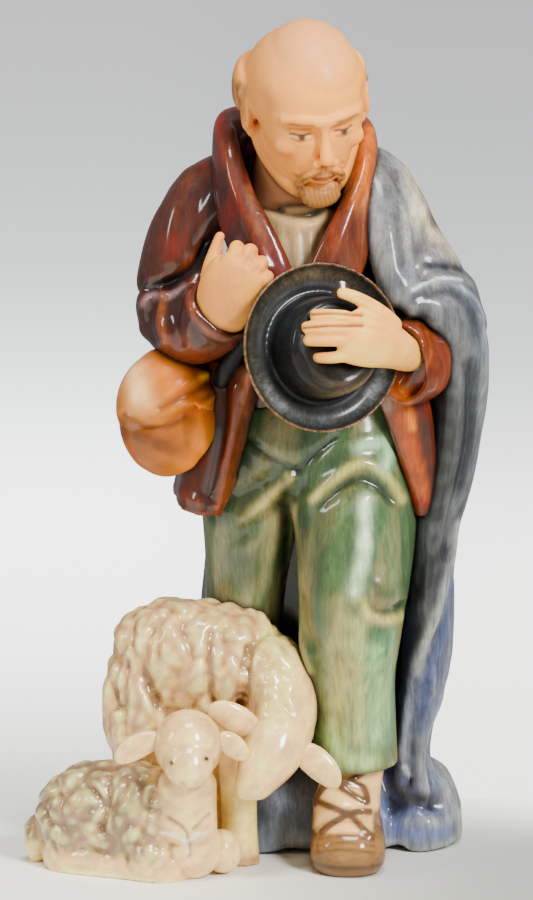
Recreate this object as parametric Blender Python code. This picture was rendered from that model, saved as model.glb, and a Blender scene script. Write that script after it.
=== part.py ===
"""A nativity shepherd in glazed ceramic, with a standing ewe and a lying lamb, cast as one.

The forms are drawn in millimetres for a figure DRAWN_HEIGHT tall,
    on the ground at z = 0. They are fused into
one skin, the folds are carved into it, and it is scaled to HEIGHT and stood on its flat underside.
+X is the viewer's right, -Y the front, +Z up.
"""

import math

import bmesh
import bpy
import numpy as np
from mathutils import Euler, Matrix, Vector

# size of the real figure, in metres
HEIGHT = 0.178
# the drawing, in millimetres
DRAWN_HEIGHT = 174.9
CENTRE = (-6.7, -1.0)
GLAZE = 0.2
SKIN_STEP = 1.1
TRIANGLES = 9500
LOOK_DOWN = math.radians(10)


def curve_through(stations, count):
    points = np.array(stations, float)
    last = len(points) - 1
    t = np.linspace(0, last, count)
    i = np.minimum(t.astype(int), last - 1)
    f = (t - i)[:, None]
    before, start = points[np.maximum(i - 1, 0)], points[i]
    end, after = points[i + 1], points[np.minimum(i + 2, last)]
    return 0.5 * (
        2 * start
        + (end - before) * f
        + (2 * before - 5 * start + 4 * end - after) * f**2
        + (3 * start - before - 3 * end + after) * f**3
    )


def wrap(bm, surface, around, along):
    """A grid rolled into one closed skin: surface(turn, rise), both from 0 to 1, gives its point."""
    verts = bmesh.ops.create_grid(bm, x_segments=around, y_segments=along, size=0.5)["verts"]
    for v in verts:
        v.co = surface(v.co.x + 0.5, v.co.y + 0.5)
    bmesh.ops.remove_doubles(bm, verts=verts, dist=0.001)
    bmesh.ops.holes_fill(bm, edges=[e for e in bm.edges if e.is_boundary])


def superellipse(turn, power):
    angle = 2 * math.pi * turn
    c, s = math.cos(angle), math.sin(angle)
    return math.copysign(abs(c) ** (2 / power), c), math.copysign(abs(s) ** (2 / power), s)


def limb(bm, stations, across=(1, 0, 0), around=28, rings=26, power=2.0, blunt=0.35, hollow=0.0):
    """A limb through stations (x, y, z, half width, half depth), its width along across, with rounded ends.

    With a hollow its far end is open, like a sleeve, to that depth."""
    rows = curve_through(stations, 101)
    path = rows[:, :3]
    run = np.gradient(path, axis=0)
    run /= np.linalg.norm(run, axis=1)[:, None]
    length = np.concatenate([[0], np.cumsum(np.linalg.norm(np.diff(path, axis=0), axis=1))])
    outside = 0.75 if hollow else 1.0

    def surface(turn, rise):
        at = min(rise / outside, 1) * (len(rows) - 1)
        i = min(int(at), len(rows) - 2)
        row = rows[i] + (rows[i + 1] - rows[i]) * (at - i)
        tangent = run[i] + (run[i + 1] - run[i]) * (at - i)
        middle = row[:3]
        here = length[i] + (length[i + 1] - length[i]) * (at - i)
        radius = max(row[3], row[4]) * blunt
        gaps = (here,) if hollow else (here, length[-1] - here)
        shrink = 1.0
        for gap in gaps:
            if gap < radius:
                shrink = min(shrink, math.sqrt(max(0.0, 1 - (1 - gap / radius) ** 2)))
        shrink = 1 - (1 - max(shrink, 0.02)) * 0.85
        if rise > outside:
            inward = (rise - outside) / (1 - outside)
            middle = middle - tangent * hollow * max(0.0, inward * 1.25 - 0.25)
            shrink = 1 - 0.2 * min(1, inward * 4) - 0.75 * max(0, inward - 0.8) / 0.2
        side = np.array(across, float)
        side -= tangent * (side @ tangent)
        side /= np.linalg.norm(side)
        deep = np.cross(tangent, side)
        c, s = superellipse(turn, power)
        return Vector(middle + side * c * row[3] * shrink + deep * s * row[4] * shrink)

    wrap(bm, surface, around, rings)


def ball(bm, centre, radii, turned=(0, 0, 0), fine=4):
    place = Matrix.LocRotScale(Vector(centre), Euler([math.radians(a) for a in turned]), Vector(radii))
    bmesh.ops.create_icosphere(bm, subdivisions=fine, radius=1, matrix=place)


def stack(bm, stations, ripple=None, around=72, rings=48, power=2.2):
    """A mass of level sections (z, x low, x high, y low, y high); ripple(angle, z) folds its sides."""
    rows = curve_through(stations, 161)

    def surface(turn, rise):
        at = rise * (len(rows) - 1)
        i = min(int(at), len(rows) - 2)
        z, left, right, front, back = rows[i] + (rows[i + 1] - rows[i]) * (at - i)
        c, s = superellipse(turn, power)
        swell = 1 + (ripple(turn * 2 * math.pi, z) if ripple else 0)
        return Vector((
            (left + right) / 2 + (right - left) / 2 * c * swell,
            (front + back) / 2 + (back - front) / 2 * s * swell,
            z,
        ))

    wrap(bm, surface, around, rings)


def fused(name, build, voxel, rounds=6, factor=0.5):
    """The forms that build(bm) makes, fused into one skin by voxels and eased."""
    bm = bmesh.new()
    build(bm)
    bmesh.ops.recalc_face_normals(bm, faces=bm.faces)
    mesh = bpy.data.meshes.new(name)
    bm.to_mesh(mesh)
    bm.free()
    piece = bpy.data.objects.new(name, mesh)
    bpy.context.scene.collection.objects.link(piece)
    skin = piece.modifiers.new("fuse", "REMESH")
    skin.mode = "VOXEL"
    skin.voxel_size = voxel
    ease = piece.modifiers.new("ease", "SMOOTH")
    ease.factor = factor
    ease.iterations = rounds
    settle(piece)
    return piece


def settle(piece):
    """Applies the piece's modifiers."""
    bpy.context.view_layer.update()
    graph = bpy.context.evaluated_depsgraph_get()
    mesh = bpy.data.meshes.new_from_object(piece.evaluated_get(graph))
    piece.modifiers.clear()
    old = piece.data
    piece.data = mesh
    bpy.data.meshes.remove(old)


class Skin:
    """A piece's points and normals as arrays, to be carved and painted."""

    VIEWS = {
        "front": ((1, 0, 0), (0, math.sin(LOOK_DOWN), math.cos(LOOK_DOWN))),
        "back": ((1, 0, 0), (0, 0, 1)),
        "left": ((0, 1, 0), (0, 0, 1)),
        "right": ((0, 1, 0), (0, 0, 1)),
        "top": ((1, 0, 0), (0, 1, 0)),
    }
    TOWARDS = {
        "front": (0, -math.cos(LOOK_DOWN), math.sin(LOOK_DOWN)),
        "back": (0, 1, 0),
        "left": (-1, 0, 0),
        "right": (1, 0, 0),
        "top": (0, 0, 1),
    }

    def __init__(self, piece):
        self.piece = piece
        self.read()

    def read(self):
        mesh = self.piece.data
        self.co = np.empty(len(mesh.vertices) * 3, np.float32)
        mesh.vertices.foreach_get("co", self.co)
        self.co = self.co.reshape(-1, 3).astype(float)
        self.no = np.empty(len(mesh.vertices) * 3, np.float32)
        mesh.vertex_normals.foreach_get("vector", self.no)
        self.no = self.no.reshape(-1, 3).astype(float)

    def write(self):
        self.piece.data.vertices.foreach_set("co", self.co.astype(np.float32).ravel())
        self.piece.data.update()
        self.read()

    def near(self, stroke, width, view=None, smooth=True):
        """How near each point is to a stroke, 1 on it and 0 at its width; flat strokes are seen in a view."""
        points = curve_through(stroke, 8 * len(stroke)) if smooth and len(stroke) > 1 else np.array(stroke,
            float)
        if view:
            right, up = self.VIEWS[view]
            here = np.stack([self.co @ np.array(right), self.co @ np.array(up)], 1)
            facing = np.clip((self.no @ np.array(self.TOWARDS[view])) * 3 + 0.2, 0, 1)
        else:
            here = self.co
            facing = 1.0
        low, high = points[:, :here.shape[1]].min(0) - width * 2.2, points[:,
            :here.shape[1]].max(0) + width * 2.2
        inside = np.all((here > low) & (here < high), axis=1)
        best = np.full(len(here), 1e9)
        at = here[inside]
        if len(at) == 0:
            return np.zeros(len(here))
        near = np.full(len(at), 1e9)
        if len(points) == 1:
            near = np.linalg.norm(at - points[0, :here.shape[1]], axis=1)
        for a, b in zip(points[:-1, :here.shape[1]], points[1:, :here.shape[1]]):
            run = b - a
            t = np.clip(((at - a) @ run) / max(run @ run, 1e-12), 0, 1)
            near = np.minimum(near, np.linalg.norm(at - a - t[:, None] * run, axis=1))
        best[inside] = near
        return np.exp(-((best / width) ** 2) * 2) * facing

    def carve(self, stroke, width, height, view=None, towards=None):
        """Raises a ridge along a stroke, or with a height below 0 cuts a furrow."""
        weight = self.near(stroke, width, view)
        push = self.no if towards is None else np.array(towards, float)
        self.co += push * (weight * height)[:, None]

    def ease(self, rounds, factor=0.5, weight=None):
        mesh = self.piece.data
        edges = np.empty(len(mesh.edges) * 2, np.int32)
        mesh.edges.foreach_get("vertices", edges)
        a, b = edges.reshape(-1, 2).T
        count = np.bincount(a, minlength=len(self.co)) + np.bincount(b, minlength=len(self.co))
        for _ in range(rounds):
            total = np.zeros_like(self.co)
            for k in range(3):
                total[:, k] = np.bincount(a, self.co[b, k], len(self.co)) + np.bincount(b, self.co[a, k],
                    len(self.co))
            step = (total / count[:, None] - self.co) * factor
            self.co += step if weight is None else step * weight[:, None]

    def fleece(self, spacing, height, grows, stretch=(1.0, 1.0, 1.0), seed=3):
        """Lumpy locks: the skin swells round seeded points and keeps a furrow between them."""
        at = self.co * np.array(stretch)
        wave = np.stack([np.sin(at[:, 1] * 0.9), np.sin(at[:, 2] * 0.8 + 1.0), np.sin(at[:,
            0] * 0.7 + 2.0)], 1)
        at = at + wave * spacing * 0.22
        centres = np.empty((0, 3))
        for i in np.random.default_rng(seed).permutation(np.flatnonzero(grows > 0.05))[:6000]:
            if len(centres) == 0 or np.min(np.linalg.norm(centres - at[i], axis=1)) > spacing:
                centres = np.vstack([centres, at[i]])
        for start in range(0, len(at), 4000):
            part = slice(start, start + 4000)
            gap = np.linalg.norm(at[part, None] - centres[None], axis=2)
            gap.partition(1, axis=1)
            lump = 1 - (gap[:, 0] / np.maximum(gap[:, 1], 1e-6)) ** 2.2
            self.co[part] += self.no[part] * ((lump - 0.45) * height * grows[part])[:, None]


def trousers(bm):
    ball(bm, (2.5, 3, 86), (17.5, 15, 15))
    limb(bm, [(11, 1, 96, 13, 13), (12.5, -2, 84, 13.4, 13), (13.4, -5, 72, 12.8, 12.6),
        (13.0, -8.5, 60, 11.6, 11.4),
              (12.3, -9.8, 50, 10.7, 10.6), (12.0, -8.5, 40, 9.7, 9.6), (13.0, -8, 30, 8.8, 9.2),
                  (13.5, -8, 20.0, 8.7, 9.2)],
         around=44, rings=52, blunt=0.12, hollow=3)
    limb(bm, [(-7, 5, 96, 11, 12), (-8.2, 5, 84, 11, 12.5), (-8.4, 5, 72, 10, 12), (-9.0, 6, 58, 8.6, 11),
              (-9.8, 7, 45, 8.4, 10), (-10.2, 8, 30, 8.2, 9), (-10.2, 8, 13, 8.2, 8.8)],
                  around=40, rings=40, blunt=0.12)


def coat_body(bm):
    """Chest, back and shoulders; the skirt is separate."""
    stack(bm, [(84, -16, 18, -4, 17), (96, -18, 20.5, -8, 19), (106, -19, 21.0, -12.5, 20),
        (116, -20, 21, -14, 20),
               (126, -20, 20, -12.5, 19.5), (133, -18, 18, -10, 18), (139, -13.5, 14.5, -6.5, 16),
                   (143.5, -9, 10.5, -2, 13), (146, -5, 7, 0, 10)],
          power=2.3)


def coat_skirt(bm):
    """The open skirt of the coat: a thick curtain from one front edge round the back to the other."""
    right_edge = math.radians(-34)

    def surface(turn, rise):
        # around the section of the curtain: outside one way, inside the other
        left_edge = math.radians(-128 + 25 * rise)
        outer = turn < 0.5
        f = (turn * 2 if outer else 2 - turn * 2)
        f = 0.02 + 0.96 * f
        angle = right_edge + f * (2 * math.pi + left_edge - right_edge)
        z = 70.5 + 34 * rise + (3.5 * max(0, -math.cos(angle)) ** 2 + 1.5 * max(0,
            math.sin(angle))) * (1 - rise)
        flare = 1 - rise
        half_wide = 21.4 + 4.2 * flare
        half_deep = 17.6 + 2.0 * flare
        fold = 0.9 * math.sin(7 * angle + 1.0) * (0.3 + 0.7 * flare)
        thick = 2.6
        grow = fold + (0 if outer else -thick - 1.5)
        return Vector((1.0 + (half_wide + grow) * math.cos(angle),
            3.0 + (half_deep + grow) * math.sin(angle), z))

    wrap(bm, surface, 120, 30)
    limb(bm, [(20.5, -12.6, 102, 5.0, 2.2), (23.4, -12.4, 96, 5.2, 2.2), (25.4, -11.4, 88, 4.4, 2.1),
        (27.0, -9.6, 79, 3.2, 2.0), (27.9, -8, 72.6, 2.5, 1.9)],
         across=(0.92, 0.4, 0), around=28, rings=36, power=2.6, blunt=0.35)


def right_sleeve(bm):
    limb(bm, [(-8, 3, 140, 7, 9), (-13.4, 2, 137.2, 8.6, 10), (-19.4, 1.5, 131, 8.8, 9.4),
        (-22.8, 0.5, 121, 8.5, 8.8),
              (-23.4, -1.5, 114.4, 8.2, 8.4), (-21.0, -7, 111.6, 7.8, 8.0), (-17.0, -13, 113.2, 7.6, 7.6),
              (-13.2, -17.6, 117.4, 7.7, 7.0)], across=(1, 0.2, 0.3),
                  around=44, rings=70, blunt=0.3, hollow=3.5)


def left_sleeve(bm):
    limb(bm, [(12, 3, 139, 8, 9), (20, 4, 131, 8.4, 9.5), (25.8, 5, 120, 8.2, 9),
        (28.0, 2, 110.6, 7.5, 8.6),
              (27.4, -7, 106.4, 6.8, 8.3), (25.6, -14, 105.6, 6.6, 8.5), (22.0, -20.0, 105.8, 6.6, 8.7)],
         across=(1, 0, 0.2), around=44, rings=70, blunt=0.22, hollow=3.5)


def shirt(bm):
    stack(bm, [(100, -9, 12, -12, 6), (112, -9, 12, -16.0, 6), (122, -8.5, 11.5, -16.4, 6),
        (130, -7.8, 10.5, -14.6, 6),
               (135, -7, 9.5, -12.4, 6), (138, -6, 8.6, -10.4, 6)])


def neck(bm):
    limb(bm, [(0, 0, 128, 9, 9), (0.4, -2.5, 138, 8.6, 8.6), (1.2, -5.5, 146, 8.2, 8.6),
        (2.2, -7, 154, 7.4, 8)], blunt=0.2)


def collar(bm):
    limb(bm, [(-0.6, -19.6, 116.5, 3.4, 1.4), (-4.0, -18.6, 123.0, 4.8, 1.8), (-7.8, -16.0, 130, 5.4, 2.1),
              (-11.0, -11.8, 137, 5.4, 2.6), (-12.8, -6, 144.5, 5.6, 2.8), (-13.0, 2, 148.4, 6.0, 2.5),
              (-8, 10.6, 148.6, 6.4, 2.2), (1.5, 13.8, 148.2, 6.6, 2.1), (10.8, 10.8, 147.6, 6.4, 2.2),
                  (14.8, 3, 147, 5.8, 2.5),
              (14.9, -5, 143.5, 5.0, 2.8), (13.4, -11.5, 136, 5.4, 2.4), (11.0, -16.0, 129, 5.6, 2.1),
                  (8.0, -18.8, 122.5, 5.2, 1.8),
              (5.4, -20.0, 115.5, 4.0, 1.5)], across=(0, 0.25, 1),
                  around=28, rings=110, power=2.4, blunt=0.5)


def cloak(bm):
    def folds(angle, z):
        # deeper towards the ground, and only round the back and the right side
        reach = max(0.0, math.sin(angle)) ** 0.5
        fall = min(1.0, max(0.0, (150 - z) / 130))
        return reach * fall * (0.045 * math.cos(9 * angle + 0.5) + 0.02 * math.cos(15 * angle + 1.7))

    # the mass that hangs down the back
    stack(bm, [(-2, -22, 33, -4.5, 35), (6, -21.5, 31, -4, 34.5), (16, -20.5, 28.5, -1, 33),
        (30, -19.8, 29, 2, 31.5),
               (45, -19.2, 31.5, 3, 30.5), (58, -18.0, 32.5, 3, 29.5), (70, -16.5, 33.5, 3, 28.5),
                   (82, -13.5, 35.5, 3, 28), (94, -10.5, 38, 2, 27),
               (106, -7.5, 38.5, 1, 26.5), (120, -3, 35.5, 0, 25), (130, 0, 29.5, 0, 22.5),
                   (138, 3, 23.5, 0, 18.5), (144, 6, 17.5, 3, 14)],
          ripple=folds, around=120, rings=90)
    # over the shoulder and upper arm
    limb(bm, [(10, 4, 143.5, 5, 6), (16.4, 3, 140.2, 7.0, 10), (20.4, 3, 134, 7.2, 12),
        (24.6, 3.5, 125.5, 7.6, 13),
              (30.6, 1.5, 114, 8.4, 13.5), (31.6, 2.5, 104, 8.0, 13)], across=(1, 0, 0.3),
                  around=40, rings=40, blunt=0.4)
    # down the chest beside the collar, into the crook of the arm
    limb(bm, [(15, -1.5, 144, 3.5, 4), (17.8, -7.5, 138, 4.6, 4), (19.6, -11.5, 130.5, 5, 4),
        (21.4, -14.4, 122.5, 4.4, 4),
              (22.0, -16.5, 116.5, 2.6, 3)], around=32, rings=30)
    # the fold laid over the forearm, and its fall to the ground
    limb(bm, [(22.5, -15, 116.5, 2.6, 3.0), (27.5, -14.5, 117.4, 3.2, 4.6), (32.4, -10.5, 114.6, 4.8, 7.5),
        (34.0, -5, 106.5, 6.2, 10.6),
              (34.0, -2.5, 95, 6.0, 11), (32.2, -1, 82, 5.9, 11), (29.2, 0, 68, 5.2, 11),
                  (28.6, 1.5, 54, 5.2, 10.5),
              (28.0, 3.5, 40, 5.1, 10), (25.8, 5.5, 26, 4.2, 9.5), (25.0, 7, 17, 4.6, 10),
                  (26.4, 9.5, 8, 9.0, 12.5), (27.0, 11, -2, 9.8, 13.5)],
         around=48, rings=80, blunt=0.1)
    # the dark inner web between the feet
    stack(bm, [(-2, -17, 7, -4.6, 20), (8, -16.5, 7, -4.2, 20), (20, -15, 8, 0, 20),
        (34, -12, 8, 5, 20)], power=3)


def bag(bm):
    limb(bm, [(-24.4, -4, 104, 5.6, 5), (-24.8, -5, 97, 9.2, 7.4), (-24.6, -6, 91, 10.3, 8.2),
        (-22.4, -6, 85.4, 8.4, 7.2), (-20.4, -5.6, 82.4, 4.8, 4.6)],
         around=48, rings=48, power=2.2, blunt=0.6)


def bag_flap(bm):
    limb(bm, [(-21.0, -4.5, 104.8, 6.0, 6), (-23.2, -5.4, 100.6, 8.6, 8.4), (-25.4, -6.4, 95.6, 10.2, 9.4),
        (-24.0, -6.8, 91.8, 10.6, 9.5)],
         across=(1, 0, 0.35), around=48, rings=36, power=2.2, blunt=0.35)


def shoe(bm, x=12.4, toe_x=11.3, heel_y=-1, toe_y=-24.4):
    run = toe_y - heel_y
    limb(bm, [(x, heel_y, 5.0, 6, 6.4), (x, heel_y + 0.25 * run, 5.4, 7, 7.2),
        (x - 0.6, heel_y + 0.5 * run, 5.2, 7.6, 7.4),
              (toe_x + 0.5, heel_y + 0.74 * run, 4.4, 7.7, 6.2), (toe_x, toe_y, 3.6, 6.4, 5.4)],
                  across=(1, 0, 0), around=40, rings=40, power=2.5, blunt=0.75)


def right_shoe(bm):
    """Mostly hidden behind the ewe."""
    shoe(bm, x=-14.6, toe_x=-14.6, heel_y=12, toe_y=-6)


def bag_strap(bm):
    limb(bm, [(-14.5, -9, 99.6, 1.8, 2.2), (-12.8, -12.0, 104, 2.0, 2.0), (-9.6, -13.4, 109, 2.0, 1.6),
        (-5, -14.0, 114, 1.9, 1.4)], around=16, rings=24, blunt=0.7)


def bag_stud(bm):
    ball(bm, (-33.6, -9.4, 91.0), (0.9, 1.1, 1.2), fine=3)


def ankle(bm):
    limb(bm, [(13.4, -7, 24, 6.8, 7.2), (12.6, -8, 16, 5.8, 7.0), (12.2, -12, 11, 6.0, 7.4),
        (11.8, -16.4, 7, 6.2, 6.8)], around=40, rings=30, blunt=0.3)


HAT_AT = (5.4, -23.5, 109.6)
HAT_TURN = 22
HAT_TIP = 10


def hat(bm):
    """Turned about its own axis, then laid against the belly, crown outwards."""
    profile = [(0, 10.4), (4, 9.9), (7.2, 10.6), (9.2, 10.0), (9.9, 7.5), (10.3, 3.4), (10.9, 1.3),
        (12.4, 0.9), (14.4, 1.0), (16.2, 2.2),
               (16.9, 2.9), (17.1, 2.4), (16.4, 1.0), (14.6, -0.3), (12, -0.9), (6, -0.9), (0, -0.9)]
    rows = curve_through(profile, 90)
    place = (Matrix.Translation(Vector(HAT_AT)) @ Matrix.Rotation(math.radians(HAT_TURN), 4, "Z")
             @ Matrix.Rotation(math.radians(90 - HAT_TIP), 4, "X"))

    def surface(turn, rise):
        r, h = rows[min(int(rise * 89), 89)]
        angle = 2 * math.pi * turn
        r = max(r, 0.0)
        wave = 0.5 * math.sin(2 * angle + 0.6) * (r / 17) ** 2
        return place @ Vector((r * math.cos(angle), r * math.sin(angle), h + wave))

    wrap(bm, surface, 72, 89)


def left_hand(bm):
    """Laid flat on the hat's crown, fingers towards the other side."""
    limb(bm, [(25.0, -13.5, 106.6, 3.2, 3.4), (23.2, -20.0, 107.8, 3.5, 3.4),
        (20.4, -27.0, 110.2, 4.3, 3.0), (16.6, -32.0, 112.4, 5.6, 2.5), (12.2, -34.6, 113.8, 5.7, 2.0),
        (9.6, -35.2, 114.6, 5.0, 1.7)],
         across=(0.2, 0, 1), around=32, rings=40, blunt=0.5)
    fingers = [((12, -34.4, 117.4), (7.4, -35.8, 118.0), (3.6, -34.8, 118.0), 1.35),
               ((12, -35.0, 115.2), (6.8, -36.5, 115.7), (1.9, -35.2, 115.5), 1.4),
               ((12, -34.8, 112.9), (7.0, -36.2, 113.2), (2.2, -34.8, 112.8), 1.35),
               ((13, -34.0, 110.0), (8.4, -35.2, 109.5), (3.6, -33.8, 109.2), 1.2)]
    for a, b, c, r in fingers:
        limb(bm, [(*a, r, 1.5), (*b, r, 1.4), (*c, r * 0.86, 1.1)], across=(0, 0, 1),
            around=16, rings=18, blunt=0.9)
    limb(bm, [(21.0, -27.6, 113.4, 2.6, 2.2), (17.6, -31.4, 117.6, 2.0, 1.9),
        (13.4, -33.6, 121.0, 1.35, 1.4), (9.0, -34.0, 122.6, 1.15, 1.1)],
         across=(0, 0, 1), around=16, rings=18, blunt=0.9)


def right_hand(bm):
    """A loose fist at the chest, its back outwards and the thumb up beside the lapel."""
    limb(bm, [(-15.8, -13.0, 112.5, 5, 4.6), (-14.2, -18.0, 115.5, 5.4, 4.6),
        (-12.4, -22.0, 120.6, 6.3, 4.2), (-10.4, -24.2, 125.4, 5.6, 3.6), (-9.2, -24.0, 127.8, 4.4, 2.8)],
         across=(1, 0, -0.5), around=32, rings=32, blunt=0.5)
    knuckles = [((-11.4, -24.8, 127.2), (-11.0, -22.8, 129.8), (-10.2, -19.4, 128.8)),
                ((-9.1, -25.6, 127.2), (-8.3, -23.6, 129.3), (-7.6, -20.0, 128.2)),
                ((-7.2, -25.6, 125.4), (-6.0, -23.8, 126.9), (-5.6, -20.4, 126.0)),
                ((-6.2, -25.2, 122.9), (-4.9, -23.6, 123.9), (-4.8, -20.4, 123.2))]
    for a, b, c in knuckles:
        limb(bm, [(*a, 1.5, 1.6), (*b, 1.4, 1.5), (*c, 1.3, 1.3)], across=(1, 0, -0.6),
            around=16, rings=16, blunt=0.9)
    limb(bm, [(-16.4, -19.5, 120, 2.2, 2.1), (-16.2, -21.0, 125, 1.7, 1.7), (-15.0, -21.2, 129.4, 1.3, 1.4),
        (-13.9, -20.8, 132.8, 0.9, 1.0)],
         across=(1, 0, 0), around=16, rings=18, blunt=0.9)


HEAD_AT = Vector((3.3, -11, 157.0))
HEAD_TILT = Euler((math.radians(24), math.radians(-6), math.radians(14)), "XYZ")
HEAD_PLACE = Matrix.Translation(HEAD_AT) @ HEAD_TILT.to_matrix().to_4x4()
SIDES = (-1, 1)


def in_head(build):
    """A form drawn in the head's own frame, set in its place."""
    def made(bm):
        own = bmesh.new()
        build(own)
        own.transform(HEAD_PLACE)
        mesh = bpy.data.meshes.new("head")
        own.to_mesh(mesh)
        own.free()
        bm.from_mesh(mesh)
        bpy.data.meshes.remove(mesh)
    return made


def head_line(*points):
    """A stroke given in the head's own frame: sideways, backwards, upwards."""
    return [tuple(HEAD_PLACE @ Vector(p)) for p in points]


def skull(bm):
    ball(bm, (0, 2.0, 4.0), (12.2, 14.4, 11.4))
    ball(bm, (0.8, 1.4, 6.8), (10.0, 12.6, 10.2))
    ball(bm, (0, 5.0, -1.0), (10.6, 10.6, 9.5))
    limb(bm, [(0, -1.6, 8, 10.6, 10.4), (0, -2.4, 3, 10.8, 10.2), (0, -2.8, -2, 10.2, 9.6),
        (0, -3.2, -6.5, 9.0, 9.2), (0, -4.0, -11, 7.2, 8.0), (0, -5.0, -14.6, 4.8, 6.0)],
         around=40, rings=40, power=2.25, blunt=0.6)
    for side in SIDES:
        # jaw, cheekbone
        limb(bm, [(8.6 * side, 2, -3, 2.2, 3.4), (7.8 * side, -0.4, -8.4, 2.2, 3.2),
            (5.2 * side, -5.6, -12.6, 2.4, 2.8), (2 * side, -8.6, -14.6, 2.4, 2.4)],
             across=(0, 0, 1), blunt=0.6)
        ball(bm, (6.3 * side, -8.2, -3.0), (3.2, 2.9, 2.5), fine=3)
    ball(bm, (0, -9.2, -14.0), (3.4, 2.6, 2.6))
    # brow and nose
    limb(bm, [(-8.0, -8.6, 3.0, 1.2, 1.4), (-4.2, -11.6, 3.7, 1.3, 1.4), (0, -12.4, 3.2, 1.3, 1.2),
        (4.2, -11.6, 3.7, 1.3, 1.4), (8.0, -8.6, 3.0, 1.2, 1.4)],
         across=(0, 0, 1), around=16)
    limb(bm, [(0, -11.8, 3.4, 1.3, 1.2), (0, -13.2, -0.4, 1.15, 1.3), (0, -14.9, -3.8, 1.5, 1.5),
        (0, -15.2, -5.2, 1.75, 1.4)], around=18, blunt=0.9)
    for side in SIDES:
        ball(bm, (1.75 * side, -13.2, -5.4), (1.3, 1.6, 1.1), fine=3)
    # lips
    limb(bm, [(-2.7, -11.5, -9.2, 0.6, 0.8), (0, -12.9, -8.8, 0.75, 0.9), (2.7, -11.5, -9.2, 0.6, 0.8)],
        across=(0, 0, 1), around=14)
    limb(bm, [(-2.3, -11.4, -10.3, 0.6, 0.8), (0, -12.6, -10.4, 0.8, 0.9), (2.3, -11.4, -10.3, 0.6, 0.8)],
        across=(0, 0, 1), around=14)
    # moustache and chin beard
    for side in SIDES:
        limb(bm, [(0.4 * side, -13.2, -7.0, 0.9, 0.9), (2.4 * side, -12.6, -8.0, 1.1, 1.1),
            (4.0 * side, -11.2, -10.2, 1.0, 1.0), (4.4 * side, -10.2, -12.2, 0.7, 0.8)],
             across=(0, 0, 1), around=16, blunt=0.9)
    ball(bm, (0, -10.4, -14.4), (4.4, 2.9, 3.2))
    # ears
    for side in SIDES:
        ball(bm, (12.0 * side, 1.8, -0.6), (1.5, 2.6, 4.3), turned=(-12, 0, 14 * side))
        ball(bm, (11.4 * side, 0.6, -4.4), (1.1, 1.3, 1.5))
    # the fringe of hair round the back
    limb(bm, [(-11.6, 1.5, 4.6, 2.4, 1.2), (-12.2, 5.4, 3.0, 4.8, 1.9), (-9.8, 11.2, 1.0, 6.2, 2.3),
        (-5.0, 14.6, -0.4, 6.6, 1.9), (0, 15.8, -0.8, 6.8, 1.9),
              (5.0, 14.6, -0.4, 6.6, 1.9), (9.4, 11.2, 1.0, 6.0, 1.8), (11.9, 5.4, 3.2, 4.6, 1.5),
                  (11.6, 1.5, 4.6, 2.4, 1.2)],
         across=(0, 0, 1), around=28, rings=60, blunt=0.7)


def sheep(bm):
    """The standing ewe, her head turned down to the lamb."""
    limb(bm, [(-33.6, -4, 38.6, 8.0, 8.2), (-30, -4, 40.8, 11.8, 10), (-23.6, -4, 41.2, 13.0, 10.6),
        (-15, -4.6, 40.8, 12.4, 10.2), (-8, -5.6, 40, 11.6, 9.4), (-3.5, -8, 38.5, 9.6, 8.4)],
         across=(0, 0, 1), around=44, rings=44, blunt=0.7)
    limb(bm, [(-8, -6, 41.5, 9.2, 8.4), (-3.4, -10, 38, 8.4, 8), (-1.6, -14.4, 32.5, 7.2, 7),
        (-2.2, -18, 28, 6.2, 6)], across=(1, 0, 1), around=36, rings=30, blunt=0.5)
    limb(bm, [(-1.2, -13.0, 33.5, 6.8, 6.6), (-1.6, -16.8, 29.8, 6.5, 6.4), (-3.8, -20.6, 25.8, 6.3, 5.9),
        (-6.6, -23.6, 21.6, 4.8, 4.4), (-8.6, -25.1, 18.2, 3.3, 3.0), (-9.0, -25.4, 16.9, 2.6, 2.2)],
         across=(1, 0, -0.4), around=32, rings=32, blunt=0.8)
    ball(bm, (-30, -5.5, 33), (6.4, 8.2, 12), turned=(0, -8, 0))
    limb(bm, [(-34.4, -5, 43, 2.2, 3), (-36.2, -6, 36, 2.4, 3.2), (-36.2, -7, 28, 2.3, 3),
        (-35.4, -7.6, 22.5, 1.4, 1.8)], across=(1, 0, 0), around=20, rings=26, blunt=0.9)
    limb(bm, [(-11.0, -8.6, 32, 5.4, 5), (-10.7, -9.6, 20, 4.1, 4), (-10.5, -10.0, 8, 3.7, 3.6),
        (-10.2, -10.2, -2, 4.2, 4.0)], around=28, rings=26, blunt=0.1)
    limb(bm, [(-15.5, 0.4, 32, 5.2, 4.4), (-15.8, 0.8, 20, 3.8, 3.6), (-16, 0.8, 8, 3.4, 3.4),
        (-16.2, 0.6, -2, 4, 4)], around=28, rings=26, blunt=0.1)
    limb(bm, [(-31.5, -8, 32, 6, 4.8), (-32.5, -9, 20, 4, 3.8), (-31.6, -9, 9, 3.5, 3.4),
        (-31.4, -9.2, -2, 4, 4)], around=28, rings=26, blunt=0.1)
    limb(bm, [(-31.5, 1, 32, 6, 4.8), (-32.5, 1.6, 20, 4, 3.8), (-31.6, 1.6, 9, 3.5, 3.4),
        (-31.4, 1.4, -2, 4, 4)], around=28, rings=26, blunt=0.1)


def sheep_web(bm):
    """What a mould leaves between the ewe's legs."""
    stack(bm, [(-2, -33, -13, -7.4, 0.6), (10, -33, -13, -7.4, 0.6), (22, -32, -13, -7.6, 0.4),
        (34, -30, -13, -8, 0)], around=40, rings=24, power=3)


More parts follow.
